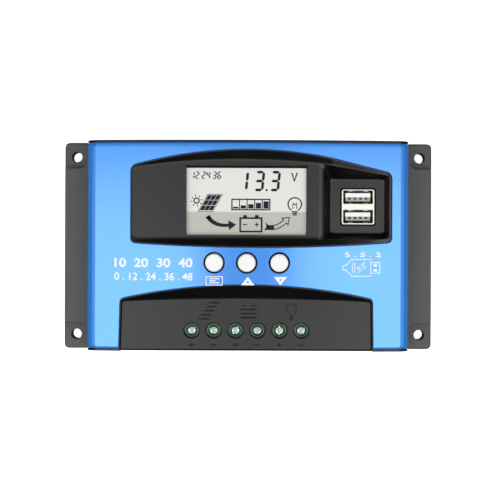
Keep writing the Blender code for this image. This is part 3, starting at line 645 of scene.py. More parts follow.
SILICONE = surface("silicone_pad", (0.55, 0.55, 0.57), 0.8, grain=0.3, shade=0.08, bump=0.005)
CELL_GLASS = surface("cell_glass", (0.55, 0.58, 0.50), 0.15, grain=0.5, shade=0.04, spread=0.03)
INK = surface("display_ink", (0.016, 0.012, 0.028), 0.6, grain=0.15, shade=0.15, spread=0.04, specular=0.12)


# Front housing


BEZEL_DROP = 0.12  # from the cover's face down to the housing's face in an opening
BEZEL_GAP = 0.2
RECESS_DROP = 0.3  # from the cover's face down to the top of a recess's wall
RECESS_MARGIN = 0.45  # from the cover's opening in to that wall
RECESS_FOOT = 0.8
RECESS_BRINK = 0.16
UPRIGHT_RADIUS = 1.0
CLEAR_OF = 0.01
PORT_LOW, PORT_HIGH, PORT_HALF, PORT_RADIUS = 14.9, 21.9, 3.5, 0.7
SHELF_HALF_X = 54.3
SHELF_EDGE_RADIUS = 1.1
BOSS_TOP, BOSS_RADIUS = 30.0, 3.2
PILOT_TOP, PILOT_RADIUS = 28.0, 1.65
STUB_TOP, STUB_RADIUS = 36.6, 2.5
STUB_PILOT_TOP, STUB_PILOT_RADIUS = 33.4, 1.3
WINDOW_LAP = 0.35  # how much further left and down the window's opening reaches
SOCKET_MARGIN = 0.55


def housing_hollow():
    """The room inside the housing, less what hangs down into it."""
    hollow = along_y(face_section(BED + WALL, HOUSING_LOW.z - 5.0), -CAVITY_HALF_Y, CAVITY_HALF_Y)
    well_low = (WELL_LOW[0] - 4.2, WELL_LOW[1] - 5.0, WELL_FLOOR - WALL)
    kept = [
        extruded([outline(grown(COVER_WINDOW, 1.6), 2.5)], DECK - WALL, CROWN),
        box(well_low, (WELL_HIGH[0] + 5.0, WELL_HIGH[1] + 4.0, CROWN)),
        extruded([outline(grown(TERMINAL_NOTCH, 1.6), 2.0)], SHELF - WALL, CROWN),
    ]
    return carved("housing_hollow", hollow, [("DIFFERENCE", shape) for shape in kept])


def bezel(sides):
    """The housing's face inside an opening of the cover, all but flush with it."""
    arch = along_y(face_section(BEZEL_DROP, HOUSING_LOW.z), -BODY_HALF_Y + 0.1, BODY_HALF_Y - 0.1)
    column = extruded([outline(grown(sides, -BEZEL_GAP), 2.3)], 30.0, CROWN + 2.0)
    return carved("bezel", column, [("INTERSECT", arch)])


def rounded_column(half_x, half_y, foot):
    """Takes the sharpness off the four upright corners."""
    sides = grown(rectangle((-half_x, -half_y), (half_x, half_y)), CLEAR_OF)
    return extruded([outline(sides, UPRIGHT_RADIUS)], foot - 1.0, CROWN + 1.0)


def face_recess(floor_sides, floor, opening, radius):
    """A recess in the housing's face, its wall ending just inside an opening of the cover."""
    wall_top = grown(opening, -RECESS_MARGIN)

    def wall_height(x):
        return arch_height(x) - RECESS_DROP

    return recess(floor_sides, floor, wall_top, wall_height, radius, RECESS_FOOT, RECESS_BRINK)


def port_cutter(x):
    """One wire entry, its edges flared at the outer face."""
    face, inner = -BODY_HALF_Y, -CAVITY_HALF_Y
    port = rectangle((x - PORT_HALF, PORT_LOW), (x + PORT_HALF, PORT_HIGH))
    stations = [(face - 1.0, 0.5), (face, 0.5), (face + 0.15, 0.2), (face + 0.5, 0.0), (inner + 0.5, 0.0)]
    rings = []
    for y, margin in stations:
        loop = outline(grown(port, margin), PORT_RADIUS + margin)
        rings.append([(px, y, pz) for px, pz in loop])
    return lofted(rings)


def shelf_edge_cutter():
    """Rounds the shelf's lower edge over into the end wall."""
    r, steps = SHELF_EDGE_RADIUS, 6
    section = [(-BODY_HALF_Y - 2.0, SHELF + 1.5), (-BODY_HALF_Y + r, SHELF + 1.5)]
    for i in range(steps + 1):
        a = math.pi / 2 * i / steps
        section.append((-BODY_HALF_Y + r * (1 - math.sin(a)), SHELF - r * (1 - math.cos(a))))
    section.append((-BODY_HALF_Y - 2.0, SHELF - r))
    return along_x(section, -SHELF_HALF_X, SHELF_HALF_X)


def make_housing():
    y = BODY_HALF_Y
    foot = HOUSING_LOW.z
    edge = [(0.5, y), (0.2, y - 0.06), (0.05, y - 0.2), (0.0, y - 0.4), (0.0, y - RIM), (BED, y - RIM)]
    stations = [(drop, -at) for drop, at in edge] + edge[::-1]
    body = lofted(arched_rings(stations, foot))
    window_low, window_high = box_mm("lcd_window")
    window = rectangle(
        (window_low.x + WINDOW_MARGIN - WINDOW_LAP, window_low.y + WINDOW_MARGIN - WINDOW_LAP),
        (window_high.x - WINDOW_MARGIN, window_high.y - WINDOW_MARGIN),
    )
    mouth = grown(rectangle(*box_mm("usb_shell")), SOCKET_MARGIN)
    stub_low = box_mm("display_board")[1].z + GAP
    bosses = [cylinder(BOSS_RADIUS, BOSS_TOP, foot + CLEAR_OF, 32, at) for at in POSTS]
    bosses += [cylinder(STUB_RADIUS, STUB_TOP, stub_low, 24, at) for at in DISPLAY_SCREWS]
    bores = [cylinder(PILOT_RADIUS, PILOT_TOP, foot - 1, 24, at) for at in POSTS]
    bores += [cylinder(STUB_PILOT_RADIUS, STUB_PILOT_TOP, stub_low - 1, 16, at) for at in DISPLAY_SCREWS]
    holes = [tapered_hole(4.1, 33.0, arch_height(c.x, BED), 0.6, 1.1, c) for c in BUTTON_CENTRES.values()]
    holes += [tapered_hole(2.8, 32.0, SHELF, 0.62, 1.3, c) for c in SCREW_CENTRES.values()]
    well = rectangle(WELL_LOW, WELL_HIGH)
    steps = [
        ("INTERSECT", rounded_column(BODY_HALF_X, BODY_HALF_Y, foot)),
        ("UNION", bezel(COVER_WINDOW)),
        ("UNION", bezel(TERMINAL_NOTCH)),
        ("DIFFERENCE", housing_hollow()),
        ("UNION", together(bosses)),
        ("DIFFERENCE", together(bores)),
        ("DIFFERENCE", face_recess(DECK_EDGE, DECK, COVER_WINDOW, 2.2)),
        ("DIFFERENCE", recess(well, WELL_FLOOR, WELL_BRINK, lambda x: DECK + 0.02, 1.5, 0.6, 2.0, WELL_LIP)),
        ("DIFFERENCE", face_recess(SHELF_EDGE, SHELF, TERMINAL_NOTCH, 1.5)),
        ("DIFFERENCE", shelf_edge_cutter()),
        ("DIFFERENCE", slab(window, 0.6, DECK - WALL - 1.0, DECK + 1.0)),
        ("DIFFERENCE", slab(mouth, 1.3, WELL_FLOOR - 4.0, WELL_FLOOR + 1.0)),
        ("DIFFERENCE", together(holes)),
        ("DIFFERENCE", together([port_cutter(c.x) for c in SCREW_CENTRES.values()])),
    ]
    finished(carved("housing", body, steps), BLACK, replaces=["front_housing"])


# Cover


EDGE_DEPTH, EDGE_LENGTH = 0.78, 1.9  # of the rounding at the cover's two ends
BUTTON_HOLE_RADIUS = 4.6


def cover_cutter(sides, radius):
    """Cuts the sheet along an outline, and rounds the cut edge over at the outer face."""
    rings = []
    for margin, drop in ((0.0, 25.0), (0.0, 0.32), (0.06, 0.16), (0.16, 0.06), (0.32, -0.01), (0.32, -5.0)):
        points = outline(grown(sides, margin), radius + margin)
        rings.append([(x, y, arch_height(x) - drop) for x, y in points])
    return lofted(rings)


def make_cover():
    foot = COVER_LOW.z
    y = COVER_HALF_Y
    angles = [math.pi / 2 * i / 9 for i in range(10)]
    end = [(EDGE_DEPTH * (1 - math.sin(a)), y - EDGE_LENGTH * (1 - math.cos(a))) for a in angles]
    stations = [(drop, -at) for drop, at in end] + end[::-1]
    stations += [(COVER_SHEET, y), (COVER_SHEET, -y)]
    sheet = lofted(arched_rings(stations, foot), tunnel=True)
    holes = []
    for c in BUTTON_CENTRES.values():
        holes.append(hole_cutter(BUTTON_HOLE_RADIUS, 30.0, arch_height(c.x), 0.25, c, 64))
    steps = [
        ("INTERSECT", rounded_column(BODY_HALF_X, y + 0.3, foot)),
        ("DIFFERENCE", cover_cutter(COVER_WINDOW, 2.5)),
        ("DIFFERENCE", cover_cutter(TERMINAL_NOTCH, 1.8)),
        ("DIFFERENCE", together(holes)),
    ]
    finished(carved("cover_sheet", sheet, steps), BLUE, replaces=["face_cover"], angle=14.0)


# Rear case


EAR_BAR = (82.2, 34.7)
EAR_BAR_RADIUS = 0.7
EAR_FILLET = 2.5
EAR_ROOT = 71.0
CASE_HALF_X, CASE_HALF_Y = 73.0, 46.0
PAD_TOP = 8.0
CASE_TOP = HOUSING_LOW.z - GAP
HOLES = [(x, y) for x in (-77.5, 77.5) for y in (-40.0, 40.0)]
HOLE_RADIUS = 2.3
PILLARS = [(x, y) for x in (-54.0, 54.0) for y in (-38.0, 38.0)]
SINK_SCREWS = [(x, 0.0) for x in (-47.5, 47.5)]
SINK_WINDOW = (44.0, 24.0)


def ear_bar_outline(side):
    """The raised part between an ear's two pads, with a fillet where it meets the case's wall."""
    hub = (CASE_HALF_X + EAR_FILLET, EAR_BAR[1] + EAR_FILLET)
    half = circle(EAR_BAR_RADIUS, 6, (EAR_BAR[0] - EAR_BAR_RADIUS, EAR_BAR[1] - EAR_BAR_RADIUS), 0.0, 90.0)
    half += circle(EAR_FILLET, 10, hub, 270.0, -90.0) + [(EAR_ROOT, hub[1])]
    points = [(side * x, -y) for x, y in half[::-1]] + [(side * x, y) for x, y in half]
    return points[::side]


def ear_parts(side):
    """A plate that makes the two corner pads, and the raised part between them."""
    left, right = sorted((side * CASE_HIGH.x, side * EAR_ROOT))
    pads = slab(rectangle((left, CASE_LOW.y), (right, CASE_HIGH.y)), 2.5, 0.0, PAD_TOP, 0.3, 0.9)
    return [pads, plate(ear_bar_outline(side), 0.5, CASE_TOP, 0.4)]


def make_case():
    base = slab(rectangle_about(0.0, 0.0, CASE_HALF_X, CASE_HALF_Y), 3.0, 0.0, CASE_TOP, 0.5, 0.35)
    room = rectangle_about(0.0, 0.0, CAVITY_HALF_X, CAVITY_HALF_Y)
    pillar_top = box_mm("power_board")[0].z - GAP
    posts = [cylinder(4.5, CASE_TOP, 1.0, 40, at) for at in POSTS]
    posts += [cylinder(2.5, pillar_top, 1.0, 24, at) for at in PILLARS]
    bores = [cylinder(PILOT_RADIUS, CASE_TOP + 1, -1.0, 24, at) for at in POSTS]
    seat = [(0.0, 2.8), (3.1, 2.8), (3.1, 0.3), (3.4, 0.0), (3.4, -1.0), (0.0, -1.0)]
    sink = [(0.0, WALL + 0.5), (1.4, WALL + 0.5), (3.6, -0.5), (0.0, -0.5)]
    r = HOLE_RADIUS
    hole = [(0.0, PAD_TOP + 1), (r + 0.4, PAD_TOP + 1), (r + 0.4, PAD_TOP), (r + 0.12, PAD_TOP - 0.1)]
    hole += [(r, PAD_TOP - 0.4), (r, 0.3), (r + 0.3, 0.0), (r + 0.3, -1.0), (0.0, -1.0)]
    steps = [("UNION", shape) for side in (-1, 1) for shape in ear_parts(side)]
    steps += [
        ("DIFFERENCE", slab(room, 1.0, WALL, CASE_TOP + 1.0, 0.6)),
        ("UNION", together(posts)),
        ("DIFFERENCE", slab(rectangle_about(0.0, 0.0, *SINK_WINDOW), 0.5, -1.0, WALL + 1.0)),
        ("DIFFERENCE", together([turned(hole, 48, at) for at in HOLES])),
        ("DIFFERENCE", together(bores)),
        ("DIFFERENCE", together([turned(seat, 40, at) for at in POSTS])),
        ("DIFFERENCE", together([turned(sink, 32, at) for at in SINK_SCREWS])),
    ]
    finished(carved("case_tray", base, steps), EAR_BLACK, replaces=["rear_case"])


# Display


SEGMENTS = {"1": "bc", "2": "abged", "3": "abgcd", "4": "fgbc", "6": "afgedc"}
SEGMENT_GAP = 0.09
SLANT = 0.1
PANE_DROP = 0.12  # from the top of the CAD's window down to the pane's face
BORDER_RISE, INK_RISE = 0.04, 0.05
VIEW_LOW, VIEW_HIGH = (1.95, 2.0), (2.5, 3.15)  # from the pane's edges in to what the border leaves clear
REFLECTOR_UPPER, REFLECTOR_LOWER = (0.74, 0.73, 0.69), (0.46, 0.465, 0.41)
BAND_Y = 14.7
VOLT_DIGITS = (("1", -0.9, 0.0), ("3", 2.85, 3.2), ("3", 9.65, 3.2))
CLOCK_DIGITS = "122436"
BAR_LEVELS = (0.22, 0.4, 0.55, 0.72, 0.9)


def seven_segments(ink, digit, x, y, width, height, thick):
    """A digit of separate segments, slightly slanted."""
    half = height / 2
    spans = {
        "a": ((0.0, height), (width, height)),
        "g": ((0.0, half), (width, half)),
        "d": ((0.0, 0.0), (width, 0.0)),
        "f": ((0.0, half), (0.0, height)),
        "b": ((width, half), (width, height)),
        "e": ((0.0, 0.0), (0.0, half)),
        "c": ((width, 0.0), (width, half)),
    }
    for key in SEGMENTS[digit]:
        start, end = (Vector(point) for point in spans[key])
        along = (end - start).normalized()
        across = Vector((-along.y, along.x)) * thick / 2
        start, end = start + along * SEGMENT_GAP, end - along * SEGMENT_GAP
        tip = along * thick / 2
        points = [start, start + tip + across, end - tip + across]
        points += [end, end - tip - across, start + tip - across]
        ink.area([(x + p.x + SLANT * p.y, y + p.y) for p in points])


def draw_sun_and_panel(ink):
    sun = Vector((-22.3, 19.5))
    ink.area(circle(1.4, 24, sun), circle(0.85, 24, sun))
    for i in range(8):
        angle = math.radians(45.0 * i + 10.0)
        ray = Vector((math.cos(angle), math.sin(angle)))
        ink.line([sun + ray * 1.85, sun + ray * 2.6], 0.4)
    corner, across, down = Vector((-17.3, 21.9)), Vector((5.8, 0.0)), Vector((-3.8, -6.8))
    wide, tall = across * 0.305, down * 0.305
    for i in range(3):
        for j in range(3):
            start = corner + across * (i / 3) + down * (j / 3)
            ink.area([start, start + wide, start + wide + tall, start + tall])
    frame_corners = ((-0.06, -0.05), (1.04, -0.05), (1.04, 1.05), (-0.06, 1.05))
    ink.line([corner + across * u + down * v for u, v in frame_corners], 0.24, closed=True)


def draw_level_bar(ink):
    """A five-step level bar that fills to the right."""
    left, right, low, high = -7.0, 9.4, 15.6, 20.1
    margin = 0.5
    ink.frame(left, low, right, high, 0.55)
    step = (right - left) / len(BAR_LEVELS)
    for i, level in enumerate(BAR_LEVELS):
        x = left + step * i
        if i:
            ink.line([(x, low), (x, high)], 0.42)
        y = low + margin
        ink.block(x + margin, y, x + step - margin, y + (high - low - 2 * margin) * level)


def draw_bulb(ink):
    x, y = 20.2, 18.0
    ink.line(circle(2.9, 40, (x, y), -62.0, 304.0), 0.55)
    filament = ((-0.9, -1.9), (-0.7, 0.5), (0.0, -0.3), (0.7, 0.5), (0.9, -1.9))
    ink.line([(x + dx, y + dy) for dx, dy in filament], 0.36)
    for i in range(3):
        ink.dash(x, y - 3.15 - 0.68 * i, 1.25 - 0.2 * i, 0.5)


def draw_battery(ink):
    left, right, low, high = -3.4, 5.9, 6.2, 12.0
    plus_x = right - 2.1
    ink.frame(left, low, right, high, 0.75)
    for x in (left + 2.1, plus_x):
        ink.block(x - 0.8, high + 0.3, x + 0.8, high + 1.3)
        ink.dash(x, 9.2, 0.9, 0.45)
    for y, top in ((8.3, 8.97), (9.43, 10.1)):
        ink.line([(plus_x, y), (plus_x, top)], 0.45)


def bend(start, middle, end, count=12):
    """Points along a bent line, drawn towards the middle."""
    start, middle, end = Vector(start), Vector(middle), Vector(end)
    shares = [i / count for i in range(count + 1)]
    return [start.lerp(middle, t).lerp(middle.lerp(end, t), t) for t in shares]


def arrow_outline(shaft, widths, head_length, head_width):
    """The outline of a bent arrow whose shaft changes width."""
    left, right = [], []
    for i, (spot, width) in enumerate(zip(shaft, widths)):
        ahead = (shaft[min(i + 1, len(shaft) - 1)] - shaft[max(i - 1, 0)]).normalized()
        across = Vector((-ahead.y, ahead.x)) * width / 2
        left.append(spot + across)
        right.append(spot - across)
    aside = Vector((-ahead.y, ahead.x)) * head_width / 2
    head = [shaft[-1] + aside, shaft[-1] + ahead * head_length, shaft[-1] - aside]
    return left + head + right[::-1]


def draw_arrows(ink):
    """A solid arrow into the battery, and an open one out of it with a solid tail."""
    shaft = bend((-17.4, 12.6), (-14.6, 8.3), (-8.4, 8.9))
    ink.area(arrow_outline(shaft, [1.9 - 0.05 * i for i in range(13)], 3.3, 4.2))
    ink.area([(-18.6, 12.2), (-16.4, 13.4), (-16.2, 11.2)])
    shaft = bend((8.6, 8.0), (12.8, 7.4), (16.0, 10.6))
    ink.line(arrow_outline(shaft, [1.7] * 13, 2.5, 3.9), 0.42, closed=True)
    ink.area([(6.9, 6.6), (8.9, 7.1), (11.4, 7.1), (11.2, 8.9), (8.9, 8.9), (7.5, 10.2), (8.0, 8.3)])


def make_display():
    low, high = box_mm("lcd_window")
    top = high.z - PANE_DROP
    sides = rectangle(low, high)
    glass = display_surface("display_reflector", REFLECTOR_UPPER, REFLECTOR_LOWER, BAND_Y)
    pane = slab(sides, 0.3, low.z, top, 0.1, 0.1)
    piece("display_pane", pane, glass, replaces=["lcd_window"])
    view = rectangle(
        (low.x + VIEW_LOW[0], low.y + VIEW_LOW[1]), (high.x - VIEW_HIGH[0], high.y - VIEW_HIGH[1])
    )
    border = extruded([outline(grown(sides, -0.4), 0.3), outline(view, 0.35)], top, top + BORDER_RISE)
    piece("display_border", border, MARK_BLACK, weighted=False)
    ink = Marks(top, top + INK_RISE)
    for digit, x, width in VOLT_DIGITS:
        seven_segments(ink, digit, x, 24.2, width, 7.7, 1.15)
    ink.area(circle(0.5, 16, (7.95, 24.1)))
    ink.line([(18.8, 31.7), (20.0, 28.2), (21.2, 31.7)], 0.6)
    for i, digit in enumerate(CLOCK_DIGITS):
        shift, width = (1.1, 0.0) if digit == "1" else (0.0, 1.15)
        x = -24.7 + 1.98 * i + 0.8 * (i // 2) + shift
        seven_segments(ink, digit, x, 29.1, width, 2.8, 0.55)
    for draw in (draw_sun_and_panel, draw_level_bar, draw_bulb, draw_battery, draw_arrows):
        draw(ink)
    piece("display_segments", together(ink.shapes), INK, weighted=False)


# Buttons


CAP_RADIUS, CAP_ROUND = 3.85, 0.75
FLANGE_RADIUS, FLANGE_TOP, FLANGE_FOOT = 5.2, 36.2, 35.1
STEM_RADIUS = 1.5


def make_buttons():
    for name, centre in BUTTON_CENTRES.items():
        low, high = box_mm(f"button_{name}")
        r = CAP_RADIUS
        profile = [(0.0, high.z - 0.1), (1.6, high.z - 0.085), (2.6, high.z - 0.03), (3.05, high.z)]
        for i in range(1, 7):
            a = math.pi / 2 * i / 6
            profile.append((r - CAP_ROUND + CAP_ROUND * math.sin(a), high.z - CAP_ROUND * (1 - math.cos(a))))
        profile += [(r, FLANGE_TOP + 0.15), (r + 0.12, FLANGE_TOP), (FLANGE_RADIUS - 0.15, FLANGE_TOP)]
        profile += [(FLANGE_RADIUS, FLANGE_TOP - 0.15), (FLANGE_RADIUS, FLANGE_FOOT)]
        profile += [(STEM_RADIUS, FLANGE_FOOT), (STEM_RADIUS, low.z), (0.0, low.z)]
        cap = turned(profile, 64, centre)
        piece(f"button_cap_{name}", cap, WHITE, f"button_{name}", [f"button_{name}"])


# Charging sockets


PORT_OFFSET = 4.2  # from the shell's middle to each port's
PORT_HALF_X, PORT_HALF_Y = 6.35, 2.8
PORT_FLOOR = 20.5
CONTACT_PITCH = 2.4
LEAF_OFFSET, LEAF_HALF = 3.3, 0.9
UPPER_LEAF = ((2.8, 0.3), (2.8, 6.0), (2.35, 5.0), (2.15, 2.4), (2.3, 1.2), (2.6, 0.35))
LOWER_LEAF = ((-2.6, 0.35), (-2.35, 1.2), (-2.2, 2.4), (-2.45, 5.0), (-2.8, 6.0), (-2.8, 0.3))


def port_mouth(x, y, top):
    """A cutter for one port, its edge rounded at the shell's face."""
    hole = rectangle_about(x, y, PORT_HALF_X, PORT_HALF_Y)
    stations = [(0.0, PORT_FLOOR - 0.1), (0.0, top - 0.18), (0.05, top - 0.08)]
    stations += [(0.18, top + 0.01), (0.18, top + 1.0)]
    rings = []
    for margin, z in stations:
        rings.append([(px, py, z) for px, py in outline(grown(hole, margin), 0.35 + margin)])
    return lofted(rings)


def make_sockets():
    low, high = box_mm("usb_shell")
    centre = (low + high) / 2
    shell = slab(rectangle(low, high), 1.1, low.z, high.z, 0.2, 0.25)
    ports = [port_mouth(centre.x, centre.y + side * PORT_OFFSET, high.z) for side in (-1, 1)]
    shell = carved("socket_shell", shell, [("DIFFERENCE", together(ports))])
    finished(shell, SHELL, replaces=["usb_shell"])
    springs, contacts, carriers, throats = [], [], [], []
    for name, side in (("upper", 1), ("lower", -1)):
        low_t, high_t = box_mm(f"usb_tongue_{name}")
        tongue = slab(rectangle(low_t, high_t), 0.25, low_t.z, high_t.z, 0.0, 0.25)
        piece(f"socket_tongue_{name}", tongue, WHITE, replaces=[f"usb_tongue_{name}"])
        y = centre.y + side * PORT_OFFSET
        carrier = rectangle((low_t.x + 0.1, low_t.y - 1.75), (high_t.x - 0.1, low_t.y + 0.1))
        carriers.append(slab(carrier, 0.2, low_t.z, high_t.z - 0.7, 0.0, 0.15))
        for i in range(4):
            x = centre.x + (i - 1.5) * CONTACT_PITCH
            finger = rectangle((x - 0.55, low_t.y - 1.0), (x + 0.55, low_t.y + 0.02))
            contacts.append(slab(finger, 0.15, low_t.z, high_t.z - 0.62, 0.0, 0.05))
        for x in (centre.x - LEAF_OFFSET, centre.x + LEAF_OFFSET):
            for leaf in (UPPER_LEAF, LOWER_LEAF):
                section = [(y + aside, high.z - down) for aside, down in leaf]
                springs.append(along_x(section, x - LEAF_HALF, x + LEAF_HALF))
        floor = rectangle_about(centre.x, y, PORT_HALF_X - 0.15, PORT_HALF_Y - 0.15)
        throats.append(slab(floor, 0.3, PORT_FLOOR, PORT_FLOOR + 0.08))
    piece("socket_springs", together(springs), SPRING)
    piece("socket_carriers", together(carriers), CARRIER)
    piece("socket_contacts", together(contacts), DARK)
    piece("socket_throats", together(throats), DARK)


# Terminals


SEAT = 30.6  # the height of a screw head's underside
SCREW_BORE_RADIUS = 2.15
HEAD_RADIUS, SHANK_RADIUS = 2.08, 1.8
SCREW_ANGLES = (38.0, -22.0, 52.0, 8.0, 88.0, 30.0)


def make_terminal_block():
    low, high = box_mm("terminal_block")
    block = slab(rectangle(low, high), 0.4, low.z, high.z, 0.15, 0.3)
    back = box_mm("contact_bar_1")[1].y
    wells, bores, chambers, slots = [], [], [], []
    for centre in SCREW_CENTRES.values():
        x = centre.x
        wells.append(hole_cutter(2.3, SEAT - 0.3, high.z, 0.5, centre))
        bores.append(cylinder(SCREW_BORE_RADIUS, 31.3, 27.6, 32, centre))
        chambers.append(box((x - 3.7, low.y - 1.0, 14.2), (x + 3.7, -30.7, 28.6)))
        slots.append(box((x - 0.9, back - 1.6, low.z - 1.0), (x + 0.9, back + 0.2, 15.2)))
    steps = [("DIFFERENCE", together(shapes)) for shapes in (wells, bores, chambers, slots)]
    finished(carved("terminal_body", block, steps), GREEN, replaces=["terminal_block"])


def turned_to(obj, centre, degrees):
    """Turns a screw made at the origin, and moves it to its place."""
    turn = Matrix.Rotation(math.radians(degrees), 4, "Z")
    obj.data.transform(Matrix.Translation((centre.x * MM, centre.y * MM, 0.0)) @ turn)
    return obj


def make_terminal_screws():
    for i, degrees in zip(TERMINALS, SCREW_ANGLES):
        low, high = box_mm(f"terminal_screw_{i}")
        top, r = high.z, HEAD_RADIUS
        profile = [(0.0, top), (0.8, top - 0.02), (1.4, top - 0.09), (1.8, top - 0.22), (2.05, top - 0.42)]
        profile += [(r, top - 0.8), (r, SEAT + 0.1), (r - 0.1, SEAT), (SHANK_RADIUS, SEAT)]
        profile += [(SHANK_RADIUS, low.z + 0.3), (SHANK_RADIUS - 0.4, low.z), (0.0, low.z)]
        cuts = [box((-3.0, -0.34, top - 0.3), (3.0, 0.34, top + 1.0), 0.12)]
        cuts += cross(1.2, 0.42, top - 1.1, top + 1.0)
        screw = carved(f"clamp_screw_{i}", turned(profile), [("DIFFERENCE", cut) for cut in cuts])
        screw = turned_to(screw, SCREW_CENTRES[i], degrees)
        finished(screw, ZINC, f"terminal_screw_{i}", [f"terminal_screw_{i}"])


# Print on the cover, and marks moulded in the shelf


PRINT_LOW, PRINT_HIGH = -0.02, 0.05  # from the cover's face
PRINT_LEFT, PRINT_RIGHT = -57.5, -23.7


def digits(text, left, right, low, high, weight):
    """Digits that fill a box, as a thin solid."""
    curve = bpy.data.curves.new("digits", "FONT")
    curve.body = text
    curve.size = 1.0
    curve.offset = weight
    curve.extrude = 0.5
    curve.resolution_u = 4
    shape = taken_mesh(curve)
    xs = [v.co.x for v in shape.verts]
    ys = [v.co.y for v in shape.verts]
    for vertex in shape.verts:
        vertex.co.x = left + (vertex.co.x - min(xs)) / (max(xs) - min(xs)) * (right - left)
        vertex.co.y = low + (vertex.co.y - min(ys)) / (max(ys) - min(ys)) * (high - low)
        vertex.co.z = PRINT_LOW + (vertex.co.z + 0.5) * (PRINT_HIGH - PRINT_LOW)
    return shape


def make_print():
    marks = Marks(PRINT_LOW, PRINT_HIGH)
    marks.shapes += [
        digits("10  20  30  40", PRINT_LEFT, PRINT_RIGHT, -9.4, -5.4, 0.03),
        digits("0 . 12 . 24 . 36 . 48", PRINT_LEFT, PRINT_RIGHT, -15.0, -11.6, 0.022),
        digits("5 . 5 . 2", 41.6, 57.4, -4.7, -2.6, 0.022),
    ]
    marks.frame(-17.9, -16.9, -10.9, -13.3, 0.35)
    for i, width in enumerate((4.4, 2.8, 4.4)):
        y = -14.2 - 0.85 * i
        marks.line([(-16.6, y), (-16.6 + width, y)], 0.45)
    marks.area([(-2.9, -16.9), (2.9, -16.9), (0.0, -13.3)], circle(0.45, 12, (0.0, -15.6)))
    marks.area([(11.1, -13.3), (16.9, -13.3), (14.0, -16.9)], circle(0.45, 12, (14.0, -14.6)))
    plug = [(40.9, -8.4), (42.0, -8.4), (44.6, -5.7), (52.9, -5.7)]
    plug += [(52.9, -12.9), (44.6, -12.9), (42.0, -10.2), (40.9, -10.2)]
    marks.line(plug, 0.36, closed=True)
    marks.line([(52.9, -7.0), (56.8, -7.0), (56.8, -11.6), (52.9, -11.6)], 0.36)
    for y in (-8.2, -10.4):
        marks.block(54.1, y - 0.55, 55.6, y + 0.55)
    bolt = [(50.2, -6.7), (46.9, -9.6), (48.5, -9.6), (47.3, -11.9), (50.9, -8.8), (49.2, -8.8)]
    marks.line(bolt, 0.32, closed=True)
    for x in (45.0, 46.0):
        marks.line([(x, -7.2), (x, -11.4)], 0.34)
    for shape in marks.shapes:
        bmesh.ops.triangulate(shape, faces=shape.faces)
    printed = together(marks.shapes)
    for vertex in printed.verts:
        vertex.co.z += arch_height(vertex.co.x)
    piece("cover_print", printed, PRINT, weighted=False)


def make_shelf_marks():
    """Pictograms moulded in low relief: a panel, a battery and a lamp over the pairs of terminals."""
    marks = Marks(SHELF - 0.05, SHELF + 0.1)
    for i in range(5):
        x, y = -21.3 + 1.15 * i, -31.9 + 1.75 * i
        marks.area([(x, y), (x + 4.4, y), (x + 4.7, y + 0.55), (x + 0.3, y + 0.55)])
    for y, half in ((-27.5, 3.6), (-29.3, 3.2), (-31.1, 3.5)):
        marks.dash(0.3, y, half, 0.55)
    for x in (-1.7, 2.5):
        marks.dash(x, -26.0, 0.7, 0.5)
    marks.line(circle(2.2, 30, (18.9, -27.2), -60.0, 300.0), 0.35)
    for i in range(3):
        marks.dash(18.9, -30.1 - 0.8 * i, 0.7, 0.4)
    for i, centre in SCREW_CENTRES.items():
        y = centre.y - 6.1
        marks.dash(centre.x, y, 1.3, 0.4)
        if i % 2:
            marks.line([(centre.x, y - 0.9), (centre.x, y - 0.22)], 0.4)
            marks.line([(centre.x, y + 0.22), (centre.x, y + 0.9)], 0.4)
    piece("shelf_marks", together(marks.shapes), MARK_BLACK, weighted=False)


# Back


GROOVE_PITCH, GROOVE_HALF, GROOVE_DEPTH = 7.0, 1.25, 1.0
SINK_GAP = 0.3


def make_heat_sink():
    low, high = box_mm("heat_sink")
    plug = rectangle_about(0.0, 0.0, SINK_WINDOW[0] - SINK_GAP, SINK_WINDOW[1] - SINK_GAP)
    body = slab(plug, 0.5, low.z, high.z - 0.5, 0.15)
    flange = slab(rectangle(low, high), 0.5, WALL + GAP, high.z, 0.0, 0.2)
    below, brink, floor = low.z - 1, low.z + GROOVE_DEPTH - 0.2, low.z + GROOVE_DEPTH
    half, floor_half = GROOVE_HALF, GROOVE_HALF - 0.25
    shape = [(-half, below), (-half, brink), (-floor_half, floor)]
    shape += [(floor_half, floor), (half, brink), (half, below)]
    grooves = []
    for i in range(-5, 6):
        section = [(i * GROOVE_PITCH + x, z) for x, z in shape]
        grooves.append(along_y(section, -SINK_WINDOW[1], SINK_WINDOW[1]))
    holes = [cylinder(1.6, 5.0, 0.0, 24, at) for at in SINK_SCREWS]
    steps = [("UNION", flange), ("DIFFERENCE", together(grooves)), ("DIFFERENCE", together(holes))]
    finished(carved("sink_plate", body, steps), ALUMINIUM, replaces=["heat_sink"])


def make_case_screws():
    crest, root = 1.35, 1.12
    for i, centre in enumerate(POSTS, 1):
        low, high = box_mm(f"case_screw_{i}")
        foot, tip = low.z, high.z
        profile = [(0.0, tip), (0.7, tip - 0.2), (crest, tip - 1.5)]
        z = tip - 1.8
        while z > 4.0:
            profile += [(crest, z), (root, z - 0.35), (crest, z - 0.7)]
            z -= 0.9
        profile += [(crest, 2.5), (2.7, 2.5), (2.8, 2.4), (2.8, foot + 0.8), (2.6, foot + 0.4)]
        profile += [(2.1, foot + 0.12), (1.4, foot), (0.0, foot)]
        cuts = [("DIFFERENCE", arm) for arm in cross(1.6, 0.4, -1.0, foot + 1.1)]
        screw = turned_to(carved(f"back_screw_{i}", turned(profile, 40), cuts), centre, 17.0 + 31.0 * i)
        finished(screw, STEEL, replaces=[f"case_screw_{i}"])


# CAD nodes that keep their shape


